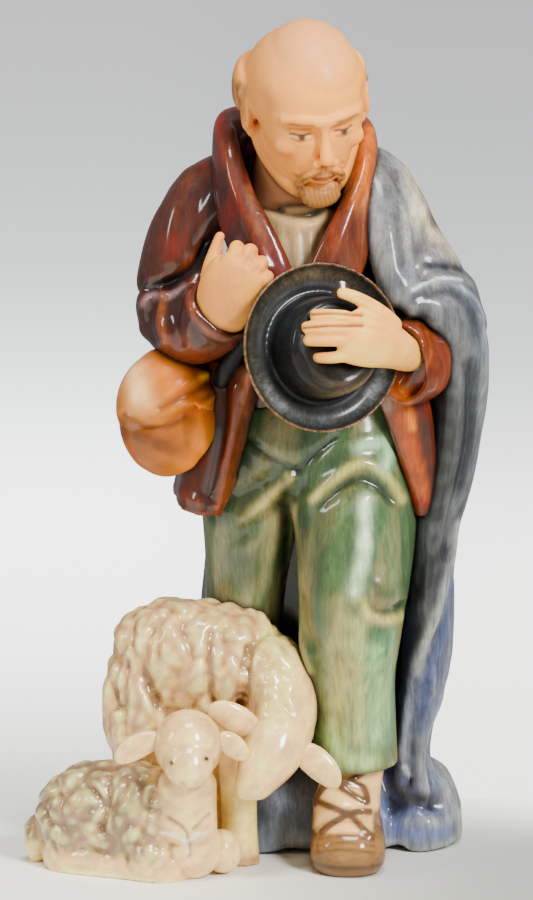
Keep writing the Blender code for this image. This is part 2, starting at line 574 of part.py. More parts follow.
def sheep_ears(bm):
    limb(bm, [(-6.5, -19.5, 29.8, 2, 1.4), (-10.5, -20.5, 32.4, 3, 1.3), (-14, -21, 34.2, 2.7, 1.1),
        (-17.0, -21, 34.8, 1.2, 0.9)], across=(0.3, 0, 1), around=24, rings=24, blunt=0.9)
    limb(bm, [(1.2, -19.5, 26.4, 2.2, 1.5), (4.6, -20.6, 24.2, 3.1, 1.4), (7.6, -21.2, 21.4, 2.8, 1.2),
        (9.6, -21.2, 18.4, 1.3, 0.9)], across=(0.8, 0, 0.6), around=24, rings=24, blunt=0.9)


def lamb(bm):
    limb(bm, [(-51.0, -9.0, 6.6, 6.8, 5.6), (-46.0, -10.5, 9.0, 9.2, 7.4), (-40, -13, 10.8, 11.0, 8.8),
        (-32, -16.5, 11.2, 11.4, 9.0), (-25, -20.5, 10.8, 10.8, 8.4), (-20.6, -22.0, 9.6, 8.8, 7.0)],
         across=(0, 0, 1), around=44, rings=40, blunt=0.8)
    # its weight on the ground
    limb(bm, [(-50.6, -9.5, 1.5, 4.5, 5.2), (-46.4, -11.0, 2, 5, 7.4), (-40, -13.6, 2, 5, 8.2),
        (-32, -17, 2, 5, 8.0), (-25, -21.0, 2, 5, 7.2), (-20.6, -22.4, 2, 5, 6.0)],
         across=(0, 0, 1), around=32, rings=40, blunt=0.8, power=2.6)
    limb(bm, [(-21.8, -22.4, 8, 7, 6.2), (-21.2, -24.0, 16, 6.2, 5.8), (-20.8, -25.4, 23.5, 5.8, 6)],
        around=32, rings=24, blunt=0.5)
    # head
    ball(bm, (-20.8, -25.4, 28.4), (7.0, 7.0, 7.4))
    limb(bm, [(-20.8, -27.6, 27.8, 5.8, 5.6), (-20.6, -30.8, 24.8, 5.0, 4.4),
        (-20.4, -33.0, 22.6, 4.0, 3.3), (-20.4, -33.6, 21.6, 3.0, 2.4)], around=28, rings=24, blunt=0.8)
    # haunch, hind foot, folded forelegs, tail
    ball(bm, (-43.4, -14.8, 8.2), (8.2, 5.4, 7.6), turned=(0, 0, -20))
    limb(bm, [(-49.0, -12.4, 2.4, 3.2, 2.8), (-43, -16.8, 2.2, 3.2, 2.6), (-36.4, -20.4, 1.9, 3.0, 2.4)],
        across=(0, 0, 1), around=20, rings=24, blunt=0.9)
    limb(bm, [(-32, -21.4, 4.8, 5.4, 4.6), (-28.6, -24.0, 4.2, 5.0, 4.2), (-24.8, -26.2, 3.4, 4.4, 3.6)],
        across=(0, 0, 1), around=24, rings=26, blunt=0.9)
    limb(bm, [(-13.4, -16, 5.4, 4.8, 4.4), (-14.2, -19.6, 4.8, 4.8, 4.4), (-16.6, -22.6, 3.8, 4.3, 3.8)],
        across=(0, 0, 1), around=24, rings=26, blunt=0.9)
    ball(bm, (-20.2, -22.6, 6.4), (6.4, 4.4, 6.6))
    ball(bm, (-52.4, -9.0, 5.0), (2.6, 2.8, 5.4))


def lamb_ears(bm):
    limb(bm, [(-26.0, -25.4, 29.8, 1.8, 1.4), (-30.0, -26.0, 28.8, 2.6, 1.2),
        (-33.2, -26.4, 27.0, 2.4, 1.1), (-35.4, -26.4, 25.0, 1.1, 0.8)], across=(0, 0, 1),
        around=24, rings=22, blunt=0.9)
    limb(bm, [(-15.2, -25.4, 30.0, 1.8, 1.4), (-12.6, -25.0, 28.8, 2.4, 1.2),
        (-10.6, -24.6, 27.0, 2.2, 1.0), (-9.2, -24.4, 25.0, 1.1, 0.8)], across=(0, 0, 1),
        around=24, rings=22, blunt=0.9)


def carve_trousers(skin):
    for stroke, width, height in (
        ([(-9, 85.6), (-3.8, 81.7), (1.3, 79.2)], 1.0, -0.8),
        ([(1.3, 79.2), (5.4, 83.0), (9.2, 86)], 1.0, -0.8),
        ([(4.6, 73.4), (11.7, 79.6), (15.8, 80.5), (20.4, 77.1), (22.5, 73.4)], 1.9, 0.9),
        ([(6.3, 73.0), (11.7, 77.0), (16.3, 77.0), (20.4, 73.2)], 1.7, -1.1),
        ([(10.8, 71.9), (16.3, 74.2), (20.0, 72.1)], 1.8, 0.6),
        ([(12, 84), (17, 85.5), (21, 82)], 1.6, 0.6),
        ([(-0.4, 77.6), (-5.0, 73.0), (-9.6, 69.2)], 1.8, 1.0),
        ([(-2.5, 79), (-7.5, 75.5), (-13, 73)], 2.2, -0.9),
        ([(-1.4, 72.5), (-6.0, 68.0), (-12, 65)], 2.2, -0.7),
        ([(15.0, 72.1), (14.6, 61.7), (12.9, 55.5)], 2.6, 0.9),
        ([(14.0, 54.6), (15.8, 51.3), (19.2, 50.2), (23.3, 51.2)], 1.6, -1.3),
        ([(18.3, 55.4), (20, 56)], 3.6, 0.9),
        ([(2.1, 53.4), (2.5, 47.1), (4.6, 43.0)], 1.6, -0.8),
        ([(0.8, 72), (0.2, 60), (1.2, 48), (4, 38)], 1.0, 0.6),
        ([(17.5, 46), (18.5, 36), (17.6, 26)], 2.0, -0.6),
        ([(8.6, 44), (8.4, 34), (9.4, 24)], 2.2, -0.6),
        ([(13, 47), (13.8, 36), (13.4, 24)], 2.2, 0.5),
        ([(-14, 64), (-14.4, 54), (-13.6, 44)], 2.2, -0.6),
        ([(-8, 64), (-9, 54), (-9, 44)], 2.6, 0.6),
    ):
        skin.carve(stroke, width, height, "front")


def carve_coat(skin):
    for stroke, width, height in (
        ([(-13.6, 96), (-14.2, 85.5), (-17.0, 72.0)], 1.7, -1.0),
        ([(-11.0, 96), (-12.0, 85.4), (-15.0, 71.9)], 1.3, 0.7),
        ([(22.0, 95), (24.5, 84), (27.5, 73)], 1.6, 0.5),
        ([(-24, 76), (-20.5, 73.5), (-15, 71.5)], 1.3, 0.5),
    ):
        skin.carve(stroke, width, height, "front")
    for x, sway in ((-14, -2.5), (-6, -1.0), (2, 0.6), (10, 2.0), (17, 3.0)):
        skin.carve([(x, 106), (x + sway * 0.6, 90), (x + sway, 70)], 2.0, -1.1, "back")
        skin.carve([(x + 4, 104), (x + 4 + sway * 0.6, 90), (x + 4 + sway, 70)], 2.0, 0.6, "back")
    skin.carve([(0.5, 146), (0.8, 128), (0.5, 108)], 1.2, -0.8, "back")


def carve_right_sleeve(skin):
    for stroke, width, height in (
        ([(-16.6, 125), (-19.0, 120.6), (-22.5, 118.0), (-29.6, 116.0)], 1.5, -2.0),
        ([(-29.4, 113.6), (-27.5, 115.0), (-25.0, 114.6), (-21.7, 116.6), (-19.4, 117.8)], 1.3, 0.8),
        ([(-25.8, 114.9), (-26.3, 110.1), (-25.4, 105.4)], 1.6, 0.9),
        ([(-28.2, 113.6), (-29.2, 108.8), (-28, 105.6)], 1.6, -1.0),
        ([(-22.9, 114.0), (-23.8, 108.8), (-22.6, 105)], 1.8, -1.0),
        ([(-19.6, 111.6), (-20.4, 107.0)], 1.6, 0.5),
        ([(-17.4, 139), (-19.8, 131), (-20.0, 124)], 2.4, -0.8),
        ([(-21, 140), (-24.0, 131), (-24.6, 122)], 2.6, 0.6),
        ([(-20.6, 116.2), (-20.2, 111.5), (-18.2, 108.2), (-15.4, 106.1), (-12.4, 105.5)], 1.0, 0.5),
    ):
        skin.carve(stroke, width, height, "front")
    for stroke, width, height in (
        ([(2, 136), (4.5, 126), (3.5, 116)], 2.2, -0.9),
        ([(7, 134), (8.5, 124), (6, 113)], 2.0, 0.6),
        ([(-3.5, 121), (0.5, 116.5), (6, 114)], 1.8, -1.1),
        ([(-3, 110), (1, 107.5), (4, 109)], 1.8, 0.6),
    ):
        skin.carve(stroke, width, height, "left")


def carve_left_sleeve(skin):
    for stroke, width, height in (
        ([(25.4, 108.6), (26.2, 103.6), (23.8, 97.6), (20.4, 94.2)], 1.0, 0.5),
        ([(28.4, 109), (29.0, 103), (26.2, 96.2)], 1.7, -0.7),
        ([(31.0, 106.6), (31.2, 101), (29.2, 95.8)], 1.5, 0.5),
    ):
        skin.carve(stroke, width, height, "front")


def carve_cloak(skin):
    for stroke, width, height in (
        ([(24.0, 143.9), (26.4, 137.6), (26.8, 130.5)], 2.4, 0.8),
        ([(21.0, 141.8), (22.0, 132.4), (23.0, 120)], 1.8, -0.9),
        ([(27.6, 139), (29.6, 132.4), (26.5, 122)], 2.4, -0.8),
        ([(29.6, 133.6), (33.8, 127.2), (37.0, 122.6)], 2.6, 0.7),
        ([(28.5, 121), (33, 120.5), (38.5, 119.4)], 2.0, -0.9),
        ([(24.2, 115.6), (29.2, 118.0), (33.6, 118.2), (38.2, 116.1)], 1.8, 0.6),
        ([(33.8, 116.6), (37.4, 114.3), (39.2, 109.9)], 1.8, 0.5),
        ([(25.0, 114.0), (31.3, 115.9), (35.5, 113.4), (37.6, 107.4)], 1.8, -0.7),
        ([(39.4, 110), (39.8, 104.2), (39.8, 86.1), (37.4, 75.1), (35.0, 63.6)], 1.8, 0.7),
        ([(36.6, 100), (36.6, 86), (34.4, 74), (32.4, 62)], 2.0, -1.3),
        ([(33.8, 66), (31.7, 53.4), (28.8, 45.9), (25.9, 40.9), (24.6, 32.5), (23.8, 24.2),
            (23.1, 20.0)], 1.4, 1.2),
        ([(34.2, 60), (32.8, 50.1), (30.0, 42.8), (27.6, 33), (26.4, 25.1)], 1.6, -1.1),
        ([(29.6, 38.7), (28.6, 31), (27.2, 25.0), (26.6, 18.8), (29.0, 10.4)], 1.2, 1.1),
        ([(25.6, 22), (25.2, 17), (23.6, 14)], 1.5, -1.6),
        ([(21.5, 9.4), (25.0, 9.0), (30.5, 9.6)], 2.8, -2.0),
        ([(25.2, 14.6), (25.8, 11.5)], 2.2, -1.6),
        ([(18.6, 13), (18.4, 7), (19.8, 1.2)], 1.2, 0.9),
        ([(30, 36), (31.6, 26), (31, 19), (33.2, 10)], 1.8, 0.6),
    ):
        skin.carve(stroke, width, height, "front")
    for y, lean in ((-4, 2), (3, 1), (10, 0), (18, -1)):
        skin.carve([(y + lean, 104), (y + lean * 0.4, 78), (y, 50), (y - 1, 26),
            (y - 2, 4)], 3.0, -1.0, "right")
        skin.carve([(y + 3.4 + lean, 112), (y + 3.4, 78), (y + 3.2, 48), (y + 2.4, 6)], 2.4, 0.6, "right")
    for low, high, bend in ((-19, 4, 3), (-11.5, 10, 3), (-3.5, 15, 3), (4.5, 20, 3), (13, 25, 2.5),
        (21.5, 30, 2), (28.5, 34, 1)):
        skin.carve([(high, 128 - 26 * max(0, (20 - high) / 16)), (high - bend * 0.4, 84), (low + bend, 46),
            (low, 2)], 2.6, -1.8, "back")
        skin.carve([(high + 3.4, 126 - 26 * max(0, (17 - high) / 16)), (high + 3 - bend * 0.4, 84),
            (low + bend + 3.6, 46), (low + 4, 2)], 2.0, 1.0, "back")


def carve_collar(skin):
    for side in SIDES:
        at = 1.0 if side < 0 else 1.6
        skin.carve([(13.0 * side + at, 148), (13.4 * side + at, 140), (10.4 * side + at, 131),
            (6.0 * side + at, 120)], 1.6, 0.7, "front")
        skin.carve([(9.4 * side + at, 146), (10.0 * side + at, 140),
            (7.6 * side + at, 132)], 1.2, -0.5, "front")


def carve_shirt(skin):
    skin.carve([(-7, 134.4), (-2, 131.4), (2.4, 130.6), (6, 131.4), (9.4, 134.2)], 0.9, -0.9, "front")
    skin.carve([(-7, 132.6), (-2, 129.6), (2.4, 128.8), (6, 129.6), (9.4, 132.4)], 1.1, 0.4, "front")
    for x, run in ((-3.6, 1.2), (-0.6, 0.8), (2.6, 0.2), (5.6, -0.6)):
        skin.carve([(x, 127), (x + run * 0.6, 122), (x + run, 116)], 1.2, -0.6, "front")


def carve_bag(skin):
    for stroke, width, height in (
        ([(-30, 86), (-26, 82.4), (-20, 80)], 2.2, 0.4),
        ([(-17.2, 96), (-18, 90), (-17.2, 83)], 1.8, 0.5),
        ([(-20.4, 90), (-20.6, 85)], 1.8, -0.5),
    ):
        skin.carve(stroke, width, height, "front")


def carve_bag_flap(skin):
    for stroke, width, height in (
        ([(-16.2, 97.2), (-21, 94.6), (-26.4, 91.8)], 1.5, -0.8),
        ([(-15.6, 99.6), (-20, 97.6), (-25, 94.6)], 1.3, 0.6),
        ([(-34.6, 91.2), (-30, 88.9), (-24, 89.2), (-18, 92.4), (-15, 95.4)], 0.9, 0.6),
    ):
        skin.carve(stroke, width, height, "front")


def carve_shoe(skin):
    skin.carve([(4.6, 6.6), (6.6, 9.6), (12.4, 10.6), (17.6, 9.0), (19.4, 6)], 0.8, -0.6, "front")
    skin.carve([(4.4, -3.4), (8, -4.4), (12, -4.6), (16, -4.2), (19.6, -3)], 0.8, -0.7, "front")


def carve_ankle(skin):
    for stroke in (
        [(6.6, 16.4), (11, 13.4), (17.6, 10.4)],
        [(18.6, 17.2), (13, 13.6), (6.0, 10.8)],
        [(7, 12.4), (12.4, 15.0), (18.8, 14.0)],
    ):
        skin.carve(stroke, 1.0, 0.6, "front")


def carve_head(skin):
    for side in SIDES:
        # sockets, lids and the lines round them
        skin.carve(head_line((3.0 * side, -11.8, 0.8), (5.8 * side, -10.4, 1.0)), 2.2, -1.3)
        skin.carve(head_line((2.0 * side, -12.2, 0.4)), 1.6, -0.7)
        skin.carve(head_line((4.4 * side, -11.4, 0.2)), 2.4, 1.1)
        skin.carve(head_line((2.6 * side, -12.0, 1.2), (4.5 * side, -12.0, 2.0),
            (6.6 * side, -10.6, 1.0)), 0.6, -0.35)
        skin.carve(head_line((2.6 * side, -12.0, -0.5), (4.5 * side, -12.2, -1.2),
            (6.5 * side, -10.6, -0.4)), 0.6, -0.3)
        skin.carve(head_line((2.5 * side, -12.0, 0.2), (4.4 * side, -12.6, 0.8),
            (6.4 * side, -10.9, 0.2)), 0.55, 0.25)
        # cheek hollow, nose to mouth fold, temple
        skin.carve(head_line((2.6 * side, -13.0, -5.0), (3.8 * side, -12.2, -7.0),
            (4.8 * side, -11, -8.6)), 0.9, -0.6)
        skin.carve(head_line((7.4 * side, -7.4, -7.4)), 3.2, -0.9)
        skin.carve(head_line((10.6 * side, -5.2, 4.6)), 3.4, -0.6)
        # the ear's bowl and rim
        skin.carve(head_line((13.4 * side, 0.6, -1.2), (13.6 * side, 1.2, 1.2)), 1.4, -1.2)
        skin.carve(head_line((12.8 * side, -0.4, 1.6), (13.2 * side, 1.8, 3.7), (13.0 * side, 3.9, 1.2),
            (12.8 * side, 3.4, -2.4)), 0.8, 0.5)
        for k in range(5):
            skin.carve(head_line(((0.8 + 0.75 * k) * side, -14 + 0.45 * k, -7.0 - 0.5 * k),
                ((1.4 + 0.9 * k) * side, -13.4 + 0.4 * k, -8.6 - 0.8 * k)), 0.45, -0.3)
    skin.carve(head_line((-2.6, -12.6, -9.75), (0, -13.8, -9.6), (2.6, -12.6, -9.75)), 0.55, -0.6)
    skin.carve(head_line((0, -14.4, -7.2), (0, -14.0, -8.4)), 0.6, -0.3)
    skin.carve(head_line((-2.0, -12.2, -11.9), (0, -12.8, -12.0), (2.0, -12.2, -11.9)), 1.0, -0.6)
    for k in range(-4, 5):
        skin.carve(head_line((0.8 * k, -13.6 + 0.12 * k * k, -12.6), (1.1 * k, -13.2 + 0.15 * k * k, -14.8),
            (0.9 * k, -11.2 + 0.15 * k * k, -17)), 0.5, -0.35)
    # locks of the fringe
    for k in range(-8, 9):
        turn = k * 0.19
        a, b = 13.6 * math.sin(turn), 3 + 13.8 * math.cos(turn)
        skin.carve(head_line((a * 0.96, b - 0.4, 5.0), (a * 1.02 + 0.5, b, 0.6),
            (a * 0.98 - 0.3, b - 0.6, -4.6)), 0.75, -0.55)


def carve_left_hand(skin):
    for stroke, width, height in (
        ([(2.2, 109.9), (8, 110.4), (14, 110.0)], 0.5, -0.8),
        ([(1.8, 107.4), (8, 107.9), (14, 107.9)], 0.5, -0.8),
        ([(14, 110.0), (18.5, 108.4)], 0.8, -0.25),
        ([(14, 107.8), (18.5, 106.8)], 0.8, -0.25),
        ([(13, 113.6), (18.6, 111.4)], 0.8, -0.35),
    ):
        skin.carve(stroke, width, height, "front")


def carve_right_hand(skin):
    for a, b in (((-10.2, 124.6), (-11.8, 120.4)), ((-7.7, 123.0), (-10.2, 118.8)), ((-6.2, 120.4),
        (-9.0, 117.0))):
        skin.carve([a, b], 0.7, -0.5, "front")
    skin.carve([(-13.4, 125), (-14.6, 120.5), (-15.6, 116)], 0.9, -0.6, "front")


def away(skin, centre, near, far):
    """0 within near of a place, 1 beyond far."""
    gap = np.linalg.norm(skin.co - np.array(centre), axis=1)
    return np.clip((gap - near) / (far - near), 0, 1)


def carve_sheep(skin):
    low = np.clip((skin.co[:, 2] - 23) / 6, 0, 1)
    own = np.clip((2 - skin.co[:, 0]) / 3, 0, 1) * np.clip((8 - skin.co[:, 1]) / 3, 0,
        1) * np.clip((58 - skin.co[:, 2]) / 3, 0, 1)
    grows = low * own * away(skin, (-4, -23, 23), 9, 13) * away(skin, (-22, -27, 26), 8, 10)
    skin.fleece(6.6, 1.1, grows, stretch=(1.3, 1, 0.75))
    skin.fleece(2.7, 0.5, grows, stretch=(1.1, 1, 0.9), seed=8)
    skin.ease(3, 0.5, grows)
    for stroke, width, height in (
        ([(-28.4, 47), (-29.9, 41), (-29.4, 36), (-27.2, 31)], 1.7, -1.2),
        ([(-16.2, 46), (-16.7, 39), (-16.0, 32)], 1.6, -1.1),
        ([(-8.6, 43), (-9.2, 37), (-10.0, 31)], 1.5, -1.3),
        ([(-33.8, 40), (-34.4, 33), (-34.0, 25)], 1.3, -0.9),
    ):
        skin.carve(stroke, width, height, "front")


def carve_lamb(skin):
    own = np.clip((-24 - skin.co[:, 0]) / 4, 0, 1) * np.clip((25 - skin.co[:, 2]) / 3, 0,
        1) * np.clip((-4 - skin.co[:, 1]) / 1.5, 0, 1)
    grows = own * away(skin, (-21, -26, 24), 8, 10) * np.clip((skin.co[:, 2] - 3) / 3, 0, 1)
    skin.fleece(5.2, 0.9, grows, seed=5)
    skin.fleece(2.4, 0.5, grows, seed=9)
    skin.ease(3, 0.5, grows)
    for stroke, width, height in (
        ([(-37, 17), (-37.4, 11), (-38.6, 6)], 1.3, -1.0),
        ([(-25.0, 8.8), (-21.2, 6.0), (-20.6, 1.2)], 0.8, -0.7),
        ([(-16.4, 9.4), (-19.8, 6.4)], 0.8, -0.5),
        ([(-28.2, 14), (-29.4, 8), (-31.4, 3.6)], 1.1, -0.6),
        ([(-47, 13), (-41, 14.4), (-38, 10), (-40, 5.4)], 1.2, -0.7),
    ):
        skin.carve(stroke, width, height, "front")


FORMS = (
    trousers, coat_body, coat_skirt, right_sleeve, left_sleeve, shirt, neck, collar, cloak,
    bag, bag_flap, bag_strap, bag_stud, shoe, right_shoe, ankle, hat, left_hand, right_hand, in_head(skull),
    sheep, sheep_web, sheep_ears, lamb, lamb_ears,
)
CARVINGS = (
    carve_trousers, carve_coat, carve_right_sleeve, carve_left_sleeve, carve_cloak, carve_collar,
        carve_shirt,
    carve_bag, carve_bag_flap, carve_shoe, carve_ankle, carve_head, carve_left_hand, carve_right_hand,
    carve_sheep, carve_lamb,
)


def every_form(bm):
    for form in FORMS:
        form(bm)


def thinned(piece):
    """Fewer, larger triangles where the skin is calm."""
    thin = piece.modifiers.new("thin", "DECIMATE")
    thin.ratio = TRIANGLES / (2 * len(piece.data.polygons))
    settle(piece)


def stood(piece):
    """Cut flat at the ground."""
    ground = bpy.data.meshes.new("ground")
    bm = bmesh.new()
    bmesh.ops.create_cube(bm, size=400, matrix=Matrix.Translation((0, 0, -200)))
    bm.to_mesh(ground)
    bm.free()
    cutter = bpy.data.objects.new("ground", ground)
    bpy.context.scene.collection.objects.link(cutter)
    cut = piece.modifiers.new("stand", "BOOLEAN")
    cut.operation = "DIFFERENCE"
    cut.object = cutter
    settle(piece)
    bpy.data.objects.remove(cutter)


def drop_crumbs(bm):
    """Takes away the few loose facets that the thinning can leave inside."""
    left = set(bm.verts)
    bodies = []
    while left:
        body, edge_of_body = set(), [left.pop()]
        while edge_of_body:
            vert = edge_of_body.pop()
            body.add(vert)
            for edge in vert.link_edges:
                other = edge.other_vert(vert)
                if other in left:
                    left.remove(other)
                    edge_of_body.append(other)
        bodies.append(body)
    bodies.sort(key=len)
    bmesh.ops.delete(bm, geom=[vert for body in bodies[:-1] for vert in body], context="VERTS")


def glaze(name, colour, roughness):
    material = bpy.data.materials.new(name)
    material.use_nodes = True
    shader = material.node_tree.nodes["Principled BSDF"]
    shader.inputs["Base Color"].default_value = (*colour, 1)
    shader.inputs["Roughness"].default_value = roughness
    shader.inputs["Metallic"].default_value = 0
    return material


def build():
    for old in list(bpy.data.objects):
        bpy.data.objects.remove(old)
    figure = fused("shepherd_with_sheep", every_form, SKIN_STEP, rounds=2)
    skin = Skin(figure)
    for carving in CARVINGS:
        carving(skin)
    skin.ease(1)
    skin.write()
    skin.co += skin.no * GLAZE
    skin.write()
    thinned(figure)
    stood(figure)
    bm = bmesh.new()
    bm.from_mesh(figure.data)
    bmesh.ops.remove_doubles(bm, verts=bm.verts, dist=0.01)
    bmesh.ops.dissolve_degenerate(bm, edges=bm.edges, dist=0.01)
    bmesh.ops.triangulate(bm, faces=bm.faces)
    drop_crumbs(bm)
    scale = HEIGHT / DRAWN_HEIGHT
    bmesh.ops.translate(bm, verts=bm.verts, vec=(-CENTRE[0], -CENTRE[1], 0))
    bmesh.ops.scale(bm, verts=bm.verts, vec=(scale, scale, scale))
    bm.to_mesh(figure.data)
    bm.free()
    figure.data.materials.append(glaze("painted_glaze", (0.36, 0.25, 0.18), 0.22))
    figure.data.shade_smooth()


build()
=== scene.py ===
"""A nativity shepherd with a ewe and a lamb, cast in one, painted by hand under a clear glaze."""

import math

import bmesh
import bpy
import numpy as np
from mathutils import Euler, Matrix, Vector
from mathutils.bvhtree import BVHTree


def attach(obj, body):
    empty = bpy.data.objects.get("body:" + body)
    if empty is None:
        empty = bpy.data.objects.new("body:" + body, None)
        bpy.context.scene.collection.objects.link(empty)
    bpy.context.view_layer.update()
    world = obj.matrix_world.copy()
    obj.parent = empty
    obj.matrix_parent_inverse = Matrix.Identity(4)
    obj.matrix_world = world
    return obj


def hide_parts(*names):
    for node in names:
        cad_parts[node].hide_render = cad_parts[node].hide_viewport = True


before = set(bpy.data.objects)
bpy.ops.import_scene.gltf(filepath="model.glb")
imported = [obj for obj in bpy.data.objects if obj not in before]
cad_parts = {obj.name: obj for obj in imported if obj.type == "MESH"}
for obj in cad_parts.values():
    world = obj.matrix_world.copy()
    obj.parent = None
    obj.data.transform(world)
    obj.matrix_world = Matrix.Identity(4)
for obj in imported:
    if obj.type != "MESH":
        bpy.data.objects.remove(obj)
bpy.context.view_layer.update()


# The trousers: loose green cloth over a straight left leg and a bent right one, with a seam at the waist.
# The forms are drawn in millimetres for a figure DRAWN_HEIGHT tall and scaled to HEIGHT at the end.
# They are fused by voxels, carved, then painted point by point, with painted shade in the folds and painted
# highlights on what stands proud.
HEIGHT = 0.178
DRAWN_HEIGHT = 174.9
CENTRE = (-6.7, -1.0)
UNIT = HEIGHT / DRAWN_HEIGHT
CASTING = "shepherd_with_sheep"
LOOK_DOWN = math.radians(10)


def curve_through(stations, count):
    """A smooth curve of count points through the stations."""
    points = np.array(stations, float)
    last = len(points) - 1
    t = np.linspace(0, last, count)
    i = np.minimum(t.astype(int), last - 1)
    f = (t - i)[:, None]
    before, start = points[np.maximum(i - 1, 0)], points[i]
    end, after = points[i + 1], points[np.minimum(i + 2, last)]
    return (
        0.5
        * (
            2 * start + (end - before) * f + (2 * before - 5 * start + 4 * end - after) * f**2
            + (3 * start - before - 3 * end + after) * f**3
        )
    )


def wrap(bm, surface, around, along):
    """A grid rolled into one closed skin: surface(turn, rise), both from 0 to 1, gives its point."""
    verts = bmesh.ops.create_grid(bm, x_segments=around, y_segments=along, size=0.5)["verts"]
    for v in verts:
        v.co = surface(v.co.x + 0.5, v.co.y + 0.5)
    bmesh.ops.remove_doubles(bm, verts=verts, dist=0.001)
    bmesh.ops.holes_fill(bm, edges=[e for e in bm.edges if e.is_boundary])


def superellipse(turn, power):
    """A point of a round outline, squarer with a higher power."""
    angle = 2 * math.pi * turn
    c, s = math.cos(angle), math.sin(angle)
    return math.copysign(abs(c) ** (2 / power), c), math.copysign(abs(s) ** (2 / power), s)


def limb(bm, stations, across=(1, 0, 0), around=28, rings=26, power=2.0, blunt=0.35, hollow=0.0):
    """A limb through stations (x, y, z, half width, half depth), its width along across, with rounded ends.

    With a hollow its far end is open, like a sleeve, to that depth."""
    rows = curve_through(stations, 101)
    path = rows[:, :3]
    run = np.gradient(path, axis=0)
    run /= np.linalg.norm(run, axis=1)[:, None]
    length = np.concatenate([[0], np.cumsum(np.linalg.norm(np.diff(path, axis=0), axis=1))])
    outside = 0.75 if hollow else 1.0

    def surface(turn, rise):
        at = min(rise / outside, 1) * (len(rows) - 1)
        i = min(int(at), len(rows) - 2)
        row = rows[i] + (rows[i + 1] - rows[i]) * (at - i)
        tangent = run[i] + (run[i + 1] - run[i]) * (at - i)
        middle = row[:3]
        here = length[i] + (length[i + 1] - length[i]) * (at - i)
        radius = max(row[3], row[4]) * blunt
        gaps = (here,) if hollow else (here, length[-1] - here)
        shrink = 1.0
        for gap in gaps:
            if gap < radius:
                shrink = min(shrink, math.sqrt(max(0.0, 1 - (1 - gap / radius) ** 2)))
        shrink = 1 - (1 - max(shrink, 0.02)) * 0.85
        if rise > outside:
            inward = (rise - outside) / (1 - outside)
            middle = middle - tangent * hollow * max(0.0, inward * 1.25 - 0.25)
            shrink = 1 - 0.2 * min(1, inward * 4) - 0.75 * max(0, inward - 0.8) / 0.2
        side = np.array(across, float)
        side -= tangent * (side @ tangent)
        side /= np.linalg.norm(side)
        deep = np.cross(tangent, side)
        c, s = superellipse(turn, power)
        return Vector(middle + side * c * row[3] * shrink + deep * s * row[4] * shrink)

    wrap(bm, surface, around, rings)


def ball(bm, centre, radii, turned=(0, 0, 0), fine=4):
    """An ellipsoid, turned by degrees about x, y and z."""
    place = Matrix.LocRotScale(Vector(centre), Euler([math.radians(a) for a in turned]), Vector(radii))
    bmesh.ops.create_icosphere(bm, subdivisions=fine, radius=1, matrix=place)


def stack(bm, stations, ripple=None, around=72, rings=48, power=2.2):
    """A mass of level sections (z, x low, x high, y low, y high); ripple(angle, z) folds its sides."""
    rows = curve_through(stations, 161)

    def surface(turn, rise):
        at = rise * (len(rows) - 1)
        i = min(int(at), len(rows) - 2)
        z, left, right, front, back = rows[i] + (rows[i + 1] - rows[i]) * (at - i)
        c, s = superellipse(turn, power)
        swell = 1 + (ripple(turn * 2 * math.pi, z) if ripple else 0)
        return Vector((
            (left + right) / 2 + (right - left) / 2 * c * swell,
            (front + back) / 2 + (back - front) / 2 * s * swell,
            z,
        ))

    wrap(bm, surface, around, rings)


def settle(piece):
    """Applies the piece's modifiers."""
    bpy.context.view_layer.update()
    graph = bpy.context.evaluated_depsgraph_get()
    mesh = bpy.data.meshes.new_from_object(piece.evaluated_get(graph))
    piece.modifiers.clear()
    old = piece.data
    piece.data = mesh
    bpy.data.meshes.remove(old)


def fused(name, build, voxel, rounds):
    """The forms that build(bm) makes, fused into one skin by voxels and eased."""
    bm = bmesh.new()
    build(bm)
    bmesh.ops.recalc_face_normals(bm, faces=bm.faces)
    mesh = bpy.data.meshes.new(name)
    bm.to_mesh(mesh)
    bm.free()
    piece = bpy.data.objects.new(name, mesh)
    bpy.context.scene.collection.objects.link(piece)
    skin = piece.modifiers.new("fuse", "REMESH")
    skin.mode = "VOXEL"
    skin.voxel_size = voxel
    ease = piece.modifiers.new("ease", "SMOOTH")
    ease.factor = 0.5
    ease.iterations = rounds
    settle(piece)
    return piece


def light_for(red, green, blue):
    """The light that shows as this colour, 0 to 255, once the picture's tone curve has rolled it off."""
    seen = ((np.array((red, green, blue)) / 255 + 0.055) / 1.055) ** 2.4
    seen = np.clip(seen * 0.55 + seen.mean() * 0.45, 0.0001, 0.985) ** 0.622
    stop = (0.449 * seen / (1 - seen)) ** 1.154
    return np.clip(stop * 1.926 - stop.mean() * 0.926, 0.002, 20)


# How strongly the lamps light the front of the casting, and the palest and darkest pigments there are.
LIT = 2.6
PALEST = 0.96
DARKEST = 0.001


def srgb(red, green, blue):
    """The pigment that shows as this colour where the lamps fall on it.

    One too pale for any pigment is dimmed part of the way, to keep most of its hue, and then clipped."""
    pigment = light_for(red, green, blue) / LIT
    pigment = pigment * min(1, PALEST / pigment.max()) ** 0.35
    return np.clip(pigment, DARKEST, PALEST)


def cloud(at, size, seed):
    """Soft blotches from 0 to 1, about size across."""
    total = np.zeros(len(at))
    for k, (a, b, c) in enumerate(((1.0, 0.4, 0.3), (-0.5, 1.0, 0.6), (0.3, -0.7, 1.0), (0.8, 0.8, -0.9))):
        total += np.sin((at @ np.array((a, b, c))) * 2.8 / size * (1 + 0.27 * k) + seed * 1.7 + k * 2.1)
    return 0.5 + 0.5 * np.tanh(total * 0.55)


def ramp(value, low, high):
    """0 up to low, 1 from high on, and even between."""
    return np.clip((value - low) / (high - low), 0, 1)


